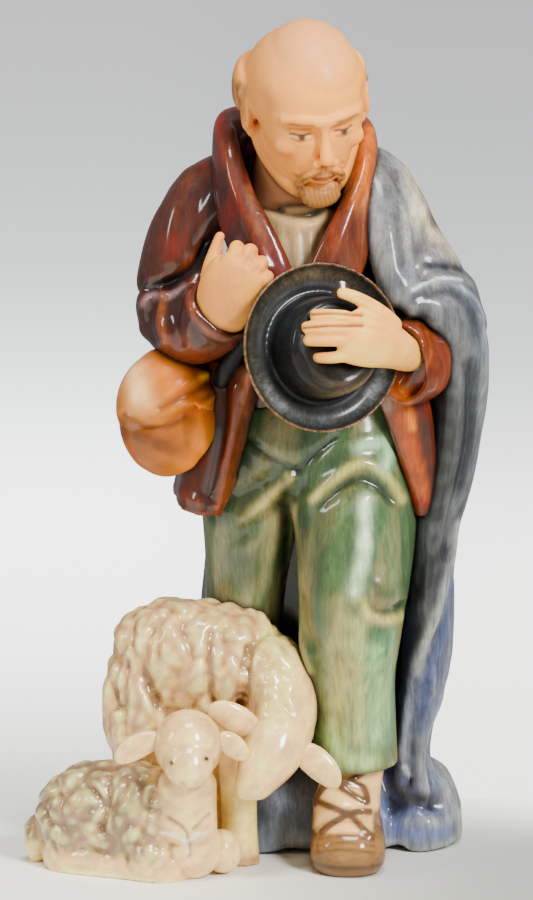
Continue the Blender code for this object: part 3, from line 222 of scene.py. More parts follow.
# How many places are tried for locks of wool, and how many points are worked on at once.
MOST_TRIES = 6000
AT_ONCE = 4000


class Skin:
    """A piece's points and normals as arrays, to be carved and painted."""

    # each view's rightward and upward directions, and the direction that it is seen from
    VIEWS = {
        "front": ((1, 0, 0), (0, math.sin(LOOK_DOWN), math.cos(LOOK_DOWN))),
        "back": ((1, 0, 0), (0, 0, 1)),
        "left": ((0, 1, 0), (0, 0, 1)),
        "right": ((0, 1, 0), (0, 0, 1)),
    }
    TOWARDS = {
        "front": (0, -math.cos(LOOK_DOWN), math.sin(LOOK_DOWN)),
        "back": (0, 1, 0),
        "left": (-1, 0, 0),
        "right": (1, 0, 0),
    }

    def __init__(self, piece):
        self.piece = piece
        self.read()

    def read(self):
        mesh = self.piece.data
        self.co = np.empty(len(mesh.vertices) * 3, np.float32)
        mesh.vertices.foreach_get("co", self.co)
        self.co = self.co.reshape(-1, 3).astype(float)
        self.no = np.empty(len(mesh.vertices) * 3, np.float32)
        mesh.vertex_normals.foreach_get("vector", self.no)
        self.no = self.no.reshape(-1, 3).astype(float)

    def write(self):
        self.piece.data.vertices.foreach_set("co", self.co.astype(np.float32).ravel())
        self.piece.data.update()
        self.read()

    def near(self, stroke, width, view=None):
        """How near each point is to a stroke, from 1 on it; flat strokes are seen in a view."""
        points = curve_through(stroke, 8 * len(stroke)) if len(stroke) > 1 else np.array(stroke, float)
        if view:
            right, up = self.VIEWS[view]
            here = np.stack([self.co @ np.array(right), self.co @ np.array(up)], 1)
            facing = np.clip((self.no @ np.array(self.TOWARDS[view])) * 3 + 0.2, 0, 1)
        else:
            here = self.co
            facing = 1.0
        # beyond 2.2 widths the stroke is too faint to count
        low, high = points.min(0) - width * 2.2, points.max(0) + width * 2.2
        inside = np.all((here > low) & (here < high), axis=1)
        best = np.full(len(here), 1e9)
        at = here[inside]
        if len(at) == 0:
            return np.zeros(len(here))
        near = np.full(len(at), 1e9)
        if len(points) == 1:
            near = np.linalg.norm(at - points[0], axis=1)
        for a, b in zip(points[:-1], points[1:]):
            run = b - a
            t = np.clip(((at - a) @ run) / max(run @ run, 1e-12), 0, 1)
            near = np.minimum(near, np.linalg.norm(at - a - t[:, None] * run, axis=1))
        best[inside] = near
        return np.exp(-((best / width) ** 2) * 2) * facing

    def carve(self, stroke, width, height, view=None):
        """Raises a ridge along a stroke, or with a height below 0 cuts a furrow."""
        self.co += self.no * (self.near(stroke, width, view) * height)[:, None]

    def carve_all(self, view, strokes):
        for stroke, width, height in strokes:
            self.carve(stroke, width, height, view)

    def ease(self, rounds, factor=0.5, weight=None):
        """Draws each point towards the middle of its neighbours."""
        mesh = self.piece.data
        edges = np.empty(len(mesh.edges) * 2, np.int32)
        mesh.edges.foreach_get("vertices", edges)
        a, b = edges.reshape(-1, 2).T
        count = np.bincount(a, minlength=len(self.co)) + np.bincount(b, minlength=len(self.co))
        for _ in range(rounds):
            total = np.zeros_like(self.co)
            for k in range(3):
                total[:, k] = (
                    np.bincount(a, self.co[b, k], len(self.co))
                    + np.bincount(b, self.co[a, k], len(self.co))
                )
            step = (total / count[:, None] - self.co) * factor
            self.co += step if weight is None else step * weight[:, None]

    def fleece(self, spacing, height, grows, stretch=(1.0, 1.0, 1.0), seed=3):
        """Lumpy locks: the skin swells round seeded points and keeps a furrow between them."""
        at = self.co * np.array(stretch)
        x, y, z = at.T
        wave = np.stack([np.sin(y * 0.9), np.sin(z * 0.8 + 1.0), np.sin(x * 0.7 + 2.0)], 1)
        at = at + wave * spacing * 0.22
        centres = np.empty((0, 3))
        tries = np.random.default_rng(seed).permutation(np.flatnonzero(grows > 0.05))[:MOST_TRIES]
        for i in tries:
            if len(centres) == 0 or np.min(np.linalg.norm(centres - at[i], axis=1)) > spacing:
                centres = np.vstack([centres, at[i]])
        for start in range(0, len(at), AT_ONCE):
            part = slice(start, start + AT_ONCE)
            gap = np.linalg.norm(at[part, None] - centres[None], axis=2)
            gap.partition(1, axis=1)
            lump = 1 - (gap[:, 0] / np.maximum(gap[:, 1], 1e-6)) ** 2.2
            self.co[part] += self.no[part] * ((lump - 0.45) * height * grows[part])[:, None]

    def hollow(self, rounds):
        """How deep each point lies below its smoothed surroundings: below 0 on ridges."""
        own = self.co.copy()
        self.ease(rounds)
        deep = np.sum((self.co - own) * self.no, axis=1)
        self.co = own
        return deep

    def start(self, colour):
        self.rgb = np.tile(colour, (len(self.co), 1))

    def wash(self, colour, weight, strength=1.0):
        """Lays a colour over the paint, as strongly as weight says at each point."""
        self.rgb += (colour - self.rgb) * (np.clip(weight, 0, 1) * strength)[:, None]

    def stroke(self, stroke, width, colour, strength):
        """One brush stroke seen from the front, its edge broken up a little."""
        broken = 0.72 + 0.5 * cloud(self.co, 3.5, width)
        self.wash(colour, self.near(stroke, width, "front") * broken, strength)

    def stroke_all(self, strokes):
        for stroke, width, colour, strength in strokes:
            self.stroke(stroke, width, colour, strength)

    def store(self):
        """Keeps the paint and the direction of the brush marks with the mesh."""
        mesh = self.piece.data
        paint = mesh.attributes.new("paint", "FLOAT_COLOR", "POINT")
        paint.data.foreach_set(
            "color", np.column_stack([self.rgb, np.ones(len(self.rgb))]).astype(np.float32).ravel()
        )
        grain = mesh.attributes.new("grain", "FLOAT_VECTOR", "POINT")
        grain.data.foreach_set("vector", self.grain.astype(np.float32).ravel())


# How uneven the glaze lies, in metres.
UNEVEN = 0.00003


def glazed(name, streak=0.35, fine=1.0, roughness=0.5, coat=0.6, sheen=0.12):
    """Underglaze paint with brush marks along the grain, under a clear glaze that lies a little uneven."""
    material = bpy.data.materials.new(name)
    material.use_nodes = True
    nodes, links = material.node_tree.nodes, material.node_tree.links
    shader = nodes["Principled BSDF"]

    def attribute(of):
        node = nodes.new("ShaderNodeAttribute")
        node.attribute_name = of
        return node

    def noise(vector, scale, detail, rough):
        node = nodes.new("ShaderNodeTexNoise")
        node.inputs["Scale"].default_value = scale
        node.inputs["Detail"].default_value = detail
        node.inputs["Roughness"].default_value = rough
        links.new(vector, node.inputs["Vector"])
        return node.outputs["Fac"]

    def spread(value, low, high, to_low, to_high):
        node = nodes.new("ShaderNodeMapRange")
        node.inputs["From Min"].default_value = low
        node.inputs["From Max"].default_value = high
        node.inputs["To Min"].default_value = to_low
        node.inputs["To Max"].default_value = to_high
        links.new(value, node.inputs["Value"])
        return node.outputs["Result"]

    def times(a, b):
        node = nodes.new("ShaderNodeMath")
        node.operation = "MULTIPLY"
        links.new(a, node.inputs[0])
        links.new(b, node.inputs[1])
        return node.outputs["Value"]

    grain = attribute("grain").outputs["Vector"]
    hairs = spread(noise(grain, 1.5 * fine, 5.0, 0.7), 0.32, 0.68, 1 - streak, 1 + streak * 0.7)
    strokes = spread(noise(grain, 0.45 * fine, 3.0, 0.55), 0.3, 0.7, 1 - streak * 0.7, 1 + streak * 0.5)
    shade = nodes.new("ShaderNodeVectorMath")
    shade.operation = "SCALE"
    links.new(attribute("paint").outputs["Color"], shade.inputs[0])
    links.new(times(hairs, strokes), shade.inputs["Scale"])
    links.new(shade.outputs["Vector"], shader.inputs["Base Color"])
    place = nodes.new("ShaderNodeTexCoord").outputs["Object"]
    uneven = spread(noise(place, 260.0, 3.0, 0.5), 0.3, 0.7, roughness * 0.75, roughness * 1.35)
    links.new(uneven, shader.inputs["Roughness"])
    swell = nodes.new("ShaderNodeBump")
    swell.inputs["Strength"].default_value = 0.55
    swell.inputs["Distance"].default_value = UNEVEN
    links.new(noise(place, 420.0, 2.0, 0.45), swell.inputs["Height"])
    links.new(swell.outputs["Normal"], shader.inputs["Normal"])
    links.new(swell.outputs["Normal"], shader.inputs["Coat Normal"])
    shader.inputs["Coat Weight"].default_value = coat
    shader.inputs["Coat Roughness"].default_value = sheen
    shader.inputs["Coat IOR"].default_value = 1.55
    shader.inputs["Specular IOR Level"].default_value = 0.12
    return material


INSET = np.array((0.0, 0.25, 0.0))
# The grain that the brush marks follow, unless a piece has its own: long and upright.
UPRIGHT = np.array((1.0, 1.0, 0.14))
PIECES = {}


def cast(name, build, glaze, step, carve, paint, grounded=False, rounds=3, calm=1):
    """One painted area of the casting, still in drawn millimetres; step is its voxels' size."""
    made = fused(name, build, step, rounds)
    if grounded:
        cut_at_ground(made)
    skin = Skin(made)
    low, high = skin.co.min(0) + INSET, skin.co.max(0) - INSET
    if carve:
        carve(skin)
        skin.ease(calm, 0.45)
    skin.co = np.clip(skin.co, low, high)
    skin.write()
    if grounded:
        skin.co[:, 2] = np.maximum(skin.co[:, 2], 0.0)
        skin.write()
    skin.grain = skin.co * UPRIGHT
    paint(skin)
    made.data.materials.append(glaze)
    PIECES[name] = skin


def cut_at_ground(made):
    """Cuts a piece off flat where it stands."""
    bm = bmesh.new()
    bm.from_mesh(made.data)
    bmesh.ops.bisect_plane(
        bm,
        geom=bm.verts[:] + bm.edges[:] + bm.faces[:],
        plane_co=(0, 0, 0),
        plane_no=(0, 0, -1),
        clear_outer=True,
    )
    bmesh.ops.holes_fill(bm, edges=[edge for edge in bm.edges if edge.is_boundary])
    bmesh.ops.triangulate(bm, faces=[face for face in bm.faces if len(face.verts) > 4])
    bm.to_mesh(made.data)
    bm.free()


def shade_folds(skin, dark, light, deep=0.35, proud=0.3, darken=0.85, lighten=0.5, rounds=10):
    """Painted shade in what lies deep and painted highlights on what stands proud, at a fine and a broad
    scale.
    """
    hollow = skin.hollow(rounds)
    skin.wash(dark, ramp(hollow, 0.04, deep), darken)
    skin.wash(light, ramp(-hollow, 0.05, proud), lighten)
    broad = skin.hollow(rounds * 6)
    skin.wash(dark, ramp(broad, 0.1, deep * 3), darken * 0.7)
    skin.wash(light, ramp(-broad, 0.15, proud * 3.2), lighten * 0.5)


def trousers(bm):
    ball(bm, (2.5, 3, 86), (17.5, 15, 15))
    limb(bm, [
        (11, 1, 96, 13, 13), (12.5, -2, 84, 13.4, 13), (13.4, -5, 72, 12.8, 12.6),
        (13.0, -8.5, 60, 11.6, 11.4), (12.3, -9.8, 50, 10.7, 10.6), (12.0, -8.5, 40, 9.7, 9.6),
        (13.0, -8, 30, 8.8, 9.2), (13.5, -8, 20.0, 8.7, 9.2),
    ], around=44, rings=52, blunt=0.12, hollow=3)
    limb(bm, [
        (-7, 5, 96, 11, 12), (-8.2, 5, 84, 11, 12.5), (-8.4, 5, 72, 10, 12), (-9.0, 6, 58, 8.6, 11),
        (-9.8, 7, 45, 8.4, 10), (-10.2, 8, 30, 8.2, 9), (-10.2, 8, 13, 8.2, 8.8),
    ], around=40, rings=40, blunt=0.12)


def carve_trousers(skin):
    skin.carve_all("front", (
        ([(-9, 85.6), (-3.8, 81.7), (1.3, 79.2)], 1.0, -0.8),
        ([(1.3, 79.2), (5.4, 83.0), (9.2, 86)], 1.0, -0.8),
        ([(4.6, 73.4), (11.7, 79.6), (15.8, 80.5), (20.4, 77.1), (22.5, 73.4)], 1.9, 0.9),
        ([(6.3, 73.0), (11.7, 77.0), (16.3, 77.0), (20.4, 73.2)], 1.7, -1.1),
        ([(10.8, 71.9), (16.3, 74.2), (20.0, 72.1)], 1.8, 0.6),
        ([(12, 84), (17, 85.5), (21, 82)], 1.6, 0.6),
        ([(-0.4, 77.6), (-5.0, 73.0), (-9.6, 69.2)], 1.8, 1.0),
        ([(-2.5, 79), (-7.5, 75.5), (-13, 73)], 2.2, -0.9),
        ([(-1.4, 72.5), (-6.0, 68.0), (-12, 65)], 2.2, -0.7),
        ([(15.0, 72.1), (14.6, 61.7), (12.9, 55.5)], 2.6, 0.9),
        ([(14.0, 54.6), (15.8, 51.3), (19.2, 50.2), (23.3, 51.2)], 1.6, -1.3),
        ([(18.3, 55.4), (20, 56)], 3.6, 0.9),
        ([(2.1, 53.4), (2.5, 47.1), (4.6, 43.0)], 1.6, -0.8),
        ([(0.8, 72), (0.2, 60), (1.2, 48), (4, 38)], 1.0, 0.6),
        ([(17.5, 46), (18.5, 36), (17.6, 26)], 2.0, -0.6),
        ([(8.6, 44), (8.4, 34), (9.4, 24)], 2.2, -0.6),
        ([(13, 47), (13.8, 36), (13.4, 24)], 2.2, 0.5),
        ([(-14, 64), (-14.4, 54), (-13.6, 44)], 2.2, -0.6),
        ([(-8, 64), (-9, 54), (-9, 44)], 2.6, 0.6),
    ))


GREEN = srgb(112, 140, 96)
DARK_GREEN = srgb(44, 66, 42)
GREEN_BLACK = srgb(24, 30, 22)
BEIGE = srgb(196, 184, 148)


def paint_trousers(skin):
    skin.start(GREEN)
    skin.wash(srgb(84, 116, 76), cloud(skin.co * (1, 1, 0.4), 9, 1), 0.6)
    skin.wash(BEIGE, ramp(cloud(skin.co * (1, 1, 0.35), 8, 4), 0.55, 0.95), 0.6)
    skin.wash(srgb(168, 186, 140), ramp(30 - skin.co[:, 2], 0, 14), 0.25)
    # painted shade in the folds and painted highlights on the ridges; many strokes below are painted
    # highlights on ridges, painted shade in the furrows and between the legs
    shade_folds(skin, DARK_GREEN, BEIGE, deep=0.3, proud=0.3, lighten=0.6)
    skin.stroke_all((
        ([(-9, 83), (-12, 76), (-16, 70)], 5.0, DARK_GREEN, 0.75),
        ([(-4, 78), (-9, 74)], 4.0, srgb(66, 96, 56), 0.7),
        ([(-0.4, 77.6), (-5.0, 73.0), (-9.6, 69.2)], 1.5, srgb(206, 200, 160), 0.85),
        ([(-14, 66), (-14.5, 58), (-14, 50)], 3.4, srgb(176, 172, 138), 0.75),
        ([(-9.4, 66), (-10.4, 58), (-10.4, 48)], 3.0, srgb(140, 156, 112), 0.5),
        ([(-5, 66), (-5.4, 56)], 2.6, srgb(168, 166, 128), 0.6),
        ([(-15.5, 50), (-10, 47.5)], 2.6, srgb(150, 122, 88), 0.6),
        ([(-1.2, 77), (-1.2, 60), (-1.8, 44)], 1.4, GREEN_BLACK, 0.85),
        ([(1.8, 79), (2.2, 70), (1.4, 60)], 2.0, srgb(58, 82, 48), 0.6),
        ([(4.6, 73.4), (11.7, 79.6), (15.8, 80.5), (20.4, 77.1), (22.5, 73.4)],
         1.4, srgb(206, 204, 158), 0.8),
        ([(5.5, 72.0), (11.7, 76.6), (16.3, 76.6), (20.4, 72.8)], 1.6, srgb(58, 82, 46), 0.8),
        ([(8.6, 81), (15, 86), (18, 84)], 2.6, srgb(66, 96, 62), 0.6),
        ([(14, 84), (20, 85), (19, 80)], 2.0, srgb(206, 222, 204), 0.65),
        ([(6.2, 70), (5.4, 60), (6.4, 50)], 2.6, srgb(88, 108, 68), 0.6),
        ([(10.5, 72), (9.6, 62), (9.8, 52)], 3.0, srgb(128, 160, 106), 0.5),
        ([(15.2, 73), (14.9, 64), (13.4, 55)], 2.2, srgb(222, 236, 218), 0.8),
        ([(18.8, 70), (20.2, 62), (20.4, 55)], 3.2, srgb(112, 150, 104), 0.7),
        ([(16, 57), (19.4, 54.2), (22, 56)], 2.2, srgb(74, 108, 62), 0.65),
        ([(14.4, 53.0), (16.4, 49.8), (19.6, 48.8), (22.6, 49.4)], 1.5, srgb(212, 206, 166), 0.75),
        ([(9.8, 52), (10.2, 42), (9.6, 30)], 3.4, srgb(190, 182, 136), 0.7),
        ([(13.4, 48), (14.2, 36), (14.2, 24)], 2.6, srgb(204, 206, 168), 0.6),
        ([(17.6, 46), (18.4, 36), (17.8, 26)], 2.6, srgb(120, 164, 122), 0.8),
        ([(20.6, 46), (20.8, 34), (20.2, 24)], 1.6, srgb(150, 190, 154), 0.6),
        ([(6.2, 40), (7.0, 30), (7.4, 22)], 2.2, srgb(92, 120, 62), 0.7),
        ([(9.4, 44), (9.6, 36), (10, 26)], 3.4, srgb(206, 202, 164), 0.5),
        ([(17.4, 42), (17.9, 32), (17.6, 24)], 3.0, srgb(196, 214, 182), 0.6),
        ([(9, 25), (11, 20.4), (16, 19.6)], 3.4, srgb(210, 220, 188), 0.65),
        ([(6, 18.4), (14, 17.2), (21.6, 18.2)], 0.9, srgb(62, 84, 46), 0.6),
        ([(-9, 74), (-10.4, 66), (-9.4, 58)], 4.0, srgb(88, 96, 62), 0.65),
        ([(-3, 88), (0, 85), (4, 86)], 4.0, srgb(92, 110, 82), 0.5),
        ([(0.8, 72), (0.2, 60), (1.2, 48), (4, 38)], 0.8, srgb(196, 190, 150), 0.7),
        ([(-8.3, 85.1), (-3.8, 81.7), (1.3, 79.2)], 0.6, GREEN_BLACK, 0.8),
        ([(1.3, 79.2), (5.4, 83.0), (9.2, 86)], 0.6, GREEN_BLACK, 0.8),
    ))


green_glaze = glazed("green_glaze", streak=0.34, sheen=0.15)
cast("trousers", trousers, green_glaze, 0.58, carve_trousers, paint_trousers, calm=4)


# The coat: a heavy mahogany coat with a wide turned collar, open over the shirt, its skirt swinging at
# the hips. It is modelled in the clay with folds in its sleeves and open cuffs, and painted wet in brown.
def coat_body(bm):
    """Chest, back and shoulders; the skirt is separate."""
    stack(bm, [
        (84, -16, 18, -4, 17), (96, -18, 20.5, -8, 19), (106, -19, 21.0, -12.5, 20),
        (116, -20, 21, -14, 20), (126, -20, 20, -12.5, 19.5), (133, -18, 18, -10, 18),
        (139, -13.5, 14.5, -6.5, 16), (143.5, -9, 10.5, -2, 13), (146, -5, 7, 0, 10),
    ], power=2.3)


def coat_skirt(bm):
    """The open skirt of the coat: a thick curtain from one front edge round the back to the other."""
    right_edge = math.radians(-34)

    def surface(turn, rise):
        # around the section of the curtain: outside one way, inside the other
        left_edge = math.radians(-128 + 25 * rise)
        outer = turn < 0.5
        f = (turn * 2 if outer else 2 - turn * 2)
        f = 0.02 + 0.96 * f
        angle = right_edge + f * (2 * math.pi + left_edge - right_edge)
        z = (
            70.5 + 34 * rise
            + (3.5 * max(0, -math.cos(angle)) ** 2 + 1.5 * max(0, math.sin(angle))) * (1 - rise)
        )
        flare = 1 - rise
        half_wide = 21.4 + 4.2 * flare
        half_deep = 17.6 + 2.0 * flare
        fold = 0.9 * math.sin(7 * angle + 1.0) * (0.3 + 0.7 * flare)
        thick = 2.6
        grow = fold + (0 if outer else -thick - 1.5)
        return Vector((
            1.0 + (half_wide + grow) * math.cos(angle), 3.0 + (half_deep + grow) * math.sin(angle), z
        ))

    wrap(bm, surface, 120, 30)
    limb(bm, [
        (20.5, -12.6, 102, 5.0, 2.2), (23.4, -12.4, 96, 5.2, 2.2), (25.4, -11.4, 88, 4.4, 2.1),
        (27.0, -9.6, 79, 3.2, 2.0), (27.9, -8, 72.6, 2.5, 1.9),
    ], across=(0.92, 0.4, 0), around=28, rings=36, power=2.6, blunt=0.35)


def right_sleeve(bm):
    limb(bm, [
        (-8, 3, 140, 7, 9), (-13.4, 2, 137.2, 8.6, 10), (-19.4, 1.5, 131, 8.8, 9.4),
        (-22.8, 0.5, 121, 8.5, 8.8), (-23.4, -1.5, 114.4, 8.2, 8.4), (-21.0, -7, 111.6, 7.8, 8.0),
        (-17.0, -13, 113.2, 7.6, 7.6), (-13.2, -17.6, 117.4, 7.7, 7.0),
    ], across=(1, 0.2, 0.3), around=44, rings=70, blunt=0.3, hollow=3.5)


def left_sleeve(bm):
    limb(bm, [
        (12, 3, 139, 8, 9), (20, 4, 131, 8.4, 9.5), (25.8, 5, 120, 8.2, 9), (28.0, 2, 110.6, 7.5, 8.6),
        (27.4, -7, 106.4, 6.8, 8.3), (25.6, -14, 105.6, 6.6, 8.5), (22.0, -20.0, 105.8, 6.6, 8.7),
    ], across=(1, 0, 0.2), around=44, rings=70, blunt=0.22, hollow=3.5)


SIDES = (-1, 1)


def collar(bm):
    limb(bm, [
        (-0.6, -19.6, 116.5, 3.4, 1.4), (-4.0, -18.6, 123.0, 4.8, 1.8), (-7.8, -16.0, 130, 5.4, 2.1),
        (-11.0, -11.8, 137, 5.4, 2.6), (-12.8, -6, 144.5, 5.6, 2.8), (-13.0, 2, 148.4, 6.0, 2.5),
        (-8, 10.6, 148.6, 6.4, 2.2), (1.5, 13.8, 148.2, 6.6, 2.1), (10.8, 10.8, 147.6, 6.4, 2.2),
        (14.8, 3, 147, 5.8, 2.5), (14.9, -5, 143.5, 5.0, 2.8), (13.4, -11.5, 136, 5.4, 2.4),
        (11.0, -16.0, 129, 5.6, 2.1), (8.0, -18.8, 122.5, 5.2, 1.8), (5.4, -20.0, 115.5, 4.0, 1.5),
    ], across=(0, 0.25, 1), around=28, rings=110, power=2.4, blunt=0.5)


def carve_coat(skin):
    skin.carve_all("front", (
        ([(-13.6, 96), (-14.2, 85.5), (-17.0, 72.0)], 1.7, -1.0),
        ([(-11.0, 96), (-12.0, 85.4), (-15.0, 71.9)], 1.3, 0.7),
        ([(22.0, 95), (24.5, 84), (27.5, 73)], 1.6, 0.5),
        ([(-24, 76), (-20.5, 73.5), (-15, 71.5)], 1.3, 0.5),
    ))
    for x, sway in ((-14, -2.5), (-6, -1.0), (2, 0.6), (10, 2.0), (17, 3.0)):
        skin.carve([(x, 106), (x + sway * 0.6, 90), (x + sway, 70)], 2.0, -1.1, "back")
        skin.carve([(x + 4, 104), (x + 4 + sway * 0.6, 90), (x + 4 + sway, 70)], 2.0, 0.6, "back")
    skin.carve([(0.5, 146), (0.8, 128), (0.5, 108)], 1.2, -0.8, "back")


def carve_right_sleeve(skin):
    skin.carve_all("front", (
        ([(-16.6, 125), (-19.0, 120.6), (-22.5, 118.0), (-29.6, 116.0)], 1.5, -2.0),
        ([(-29.4, 113.6), (-27.5, 115.0), (-25.0, 114.6), (-21.7, 116.6), (-19.4, 117.8)], 1.3, 0.8),
        ([(-25.8, 114.9), (-26.3, 110.1), (-25.4, 105.4)], 1.6, 0.9),
        ([(-28.2, 113.6), (-29.2, 108.8), (-28, 105.6)], 1.6, -1.0),
        ([(-22.9, 114.0), (-23.8, 108.8), (-22.6, 105)], 1.8, -1.0),
        ([(-19.6, 111.6), (-20.4, 107.0)], 1.6, 0.5),
        ([(-17.4, 139), (-19.8, 131), (-20.0, 124)], 2.4, -0.8),
        ([(-21, 140), (-24.0, 131), (-24.6, 122)], 2.6, 0.6),
        ([(-20.6, 116.2), (-20.2, 111.5), (-18.2, 108.2), (-15.4, 106.1), (-12.4, 105.5)], 1.0, 0.5),
    ))
    skin.carve_all("left", (
        ([(2, 136), (4.5, 126), (3.5, 116)], 2.2, -0.9),
        ([(7, 134), (8.5, 124), (6, 113)], 2.0, 0.6),
        ([(-3.5, 121), (0.5, 116.5), (6, 114)], 1.8, -1.1),
        ([(-3, 110), (1, 107.5), (4, 109)], 1.8, 0.6),
    ))


def carve_left_sleeve(skin):
    skin.carve_all("front", (
        ([(25.4, 108.6), (26.2, 103.6), (23.8, 97.6), (20.4, 94.2)], 1.0, 0.5),
        ([(28.4, 109), (29.0, 103), (26.2, 96.2)], 1.7, -0.7),
        ([(31.0, 106.6), (31.2, 101), (29.2, 95.8)], 1.5, 0.5),
    ))


def carve_collar(skin):
    for side in SIDES:
        at = 1.0 if side < 0 else 1.6
        skin.carve([
            (13.0 * side + at, 148), (13.4 * side + at, 140), (10.4 * side + at, 131),
            (6.0 * side + at, 120),
        ], 1.6, 0.7, "front")
        skin.carve([
            (9.4 * side + at, 146), (10.0 * side + at, 140), (7.6 * side + at, 132)
        ], 1.2, -0.5, "front")


MAHOGANY = srgb(84, 33, 18)
RUST = srgb(168, 84, 44)
OX_BLOOD = srgb(46, 16, 14)
RED = srgb(176, 44, 28)
NEAR_BLACK = srgb(18, 14, 16)


def paint_coat(skin):
    skin.start(MAHOGANY)
    skin.wash(RUST, ramp(cloud(skin.co * (1, 1, 0.4), 10, 2), 0.45, 0.95), 0.55)
    skin.wash(RED, ramp(cloud(skin.co, 9, 7), 0.72, 1.0), 0.4)
    # painted shade in the folds and painted highlights on them; the strokes add painted highlights and
    # glints on the front edges and painted shade beside them
    shade_folds(skin, OX_BLOOD, srgb(184, 102, 60), deep=0.35, proud=0.3, lighten=0.5)
    skin.stroke_all((
        ([(20.6, 98), (23.4, 88), (26.4, 75)], 3.0, srgb(210, 128, 70), 0.85),
        ([(22.6, 96), (24.6, 88)], 1.2, srgb(236, 190, 150), 0.6),
        ([(25.6, 94), (27.4, 84), (29.4, 75)], 1.2, srgb(84, 34, 20), 0.7),
        ([(18.6, 96), (20, 92)], 1.6, srgb(206, 190, 176), 0.6),
        ([(17.4, 96), (19.4, 86), (22.8, 75)], 1.0, NEAR_BLACK, 0.8),
        ([(24.2, 73), (29, 72)], 1.4, srgb(190, 66, 34), 0.6),
        ([(-13.4, 96), (-14.2, 85.5), (-17.4, 73)], 1.8, srgb(66, 26, 20), 0.75),
        ([(-9.0, 98), (-10.4, 85.4), (-13.6, 72.6)], 1.4, srgb(198, 124, 76), 0.9),
        ([(-9.4, 90), (-10.6, 82), (-14, 71.5)], 0.8, srgb(46, 30, 26), 0.6),
        ([(-24, 75), (-20, 72.4)], 2.0, srgb(150, 76, 44), 0.7),
        ([(-22, 79), (-16, 78)], 2.6, srgb(98, 60, 50), 0.6),
    ))


def paint_right_sleeve(skin):
    paint_coat(skin)
    # painted shade in the crook of the arm and in the furrows, painted highlights on the ridges and on the
    # cuff's rim
    skin.stroke_all((
        ([(-16.6, 126), (-18.6, 121), (-22.5, 118.6), (-29.6, 116.6)], 1.4, NEAR_BLACK, 0.85),
        ([(-15.5, 136), (-16.6, 128), (-17.4, 121)], 2.0, srgb(38, 22, 26), 0.75),
        ([(-21, 140), (-25.4, 131), (-27.6, 122)], 3.0, srgb(122, 66, 44), 0.6),
        ([(-20, 132), (-21.6, 124)], 2.4, srgb(124, 58, 34), 0.6),
        ([(-30.2, 113), (-28.4, 115.0), (-25.0, 114.4), (-21.7, 116.6)], 0.9, srgb(206, 190, 190), 0.5),
        ([(-25.8, 114.5), (-26.3, 110.1), (-25.4, 105.0)], 1.4, srgb(190, 122, 78), 0.7),
        ([(-28.6, 113.0), (-29.4, 108.8), (-28, 105.6)], 1.4, srgb(78, 34, 26), 0.7),
        ([(-22.9, 113.0), (-23.8, 108.8), (-22.6, 105)], 1.6, srgb(84, 40, 30), 0.7),
        ([(-23, 105), (-18, 102.6), (-12, 103.4)], 2.0, srgb(178, 88, 48), 0.6),
        ([(-20.2, 115.2), (-19.8, 111.2), (-17.9, 108.2), (-15.4, 106.3), (-12.7, 105.7)],
         0.7, srgb(176, 108, 84), 0.8),
    ))


def paint_left_sleeve(skin):
    paint_coat(skin)
    # lighter towards the front: painted light on the forearm; the strokes add painted highlights and
    # painted shade along its folds
    skin.wash(RUST, ramp(-skin.co[:, 1], 4, 10), 0.6)
    skin.stroke_all((
        ([(21, 110), (27, 111.4), (32, 108)], 1.4, srgb(196, 170, 158), 0.4),
        ([(32.4, 107), (33.0, 100), (31, 95)], 1.8, srgb(204, 116, 60), 0.8),
        ([(30.0, 107), (30.6, 101), (27.6, 95.6)], 1.2, srgb(120, 48, 28), 0.6),
        ([(35.0, 106), (35.2, 99)], 1.2, srgb(104, 42, 28), 0.6),
        ([(24, 96), (27.4, 99.4)], 2.0, srgb(120, 44, 26), 0.7),
        ([(27.3, 107.2), (28.0, 102.8), (25.6, 97.2), (21.9, 94.0)], 0.6, srgb(206, 126, 84), 0.7),
    ))


def paint_collar(skin):
    skin.start(srgb(96, 36, 20))
    skin.wash(RED, ramp(cloud(skin.co, 8, 3), 0.5, 0.95), 0.45)
    # lighter on the lapel on the figure's left: painted light from the lamp on that side; painted shade and
    # painted highlights in the folds and strokes
    skin.wash(srgb(180, 104, 62), ramp(skin.co[:, 0], 4, 10), 0.5)
    shade_folds(skin, srgb(42, 16, 16), srgb(182, 100, 58), deep=0.35, proud=0.35, lighten=0.5)
    skin.stroke_all((
        ([(-14.8, 150), (-13.4, 143), (-9.6, 134), (-5.6, 126)], 1.4, srgb(190, 116, 84), 0.55),
        ([(-14.6, 152), (-13.8, 147)], 2.0, RED, 0.7),
        ([(-12.2, 147), (-11.2, 140), (-8, 132)], 2.4, srgb(72, 24, 14), 0.75),
        ([(-8.6, 136), (-6.4, 129), (-4.6, 124)], 1.2, srgb(176, 128, 98), 0.6),
        ([(-6.0, 125), (-3.4, 119)], 2.0, srgb(150, 52, 30), 0.6),
        ([(16.2, 148), (15.6, 140), (13.6, 132)], 2.4, srgb(222, 160, 112), 0.85),
        ([(13.0, 131), (11.6, 125), (9.0, 119)], 2.2, srgb(130, 66, 46), 0.75),
        ([(12.2, 144), (11.6, 137), (9.6, 128)], 1.2, srgb(120, 44, 28), 0.7),
        ([(18.6, 150), (18.0, 140)], 0.8, srgb(120, 56, 34), 0.6),
    ))


brown_glaze = glazed("red_brown_glaze", streak=0.36)
cast("coat_body", coat_body, brown_glaze, 0.62, carve_coat, paint_coat)
cast("coat_skirt", coat_skirt, brown_glaze, 0.56, carve_coat, paint_coat, calm=2)
cast("right_sleeve", right_sleeve, brown_glaze, 0.5, carve_right_sleeve, paint_right_sleeve, calm=4)
cast("left_sleeve", left_sleeve, brown_glaze, 0.5, carve_left_sleeve, paint_left_sleeve, calm=3)
cast("collar", collar, brown_glaze, 0.5, carve_collar, paint_collar, calm=3)


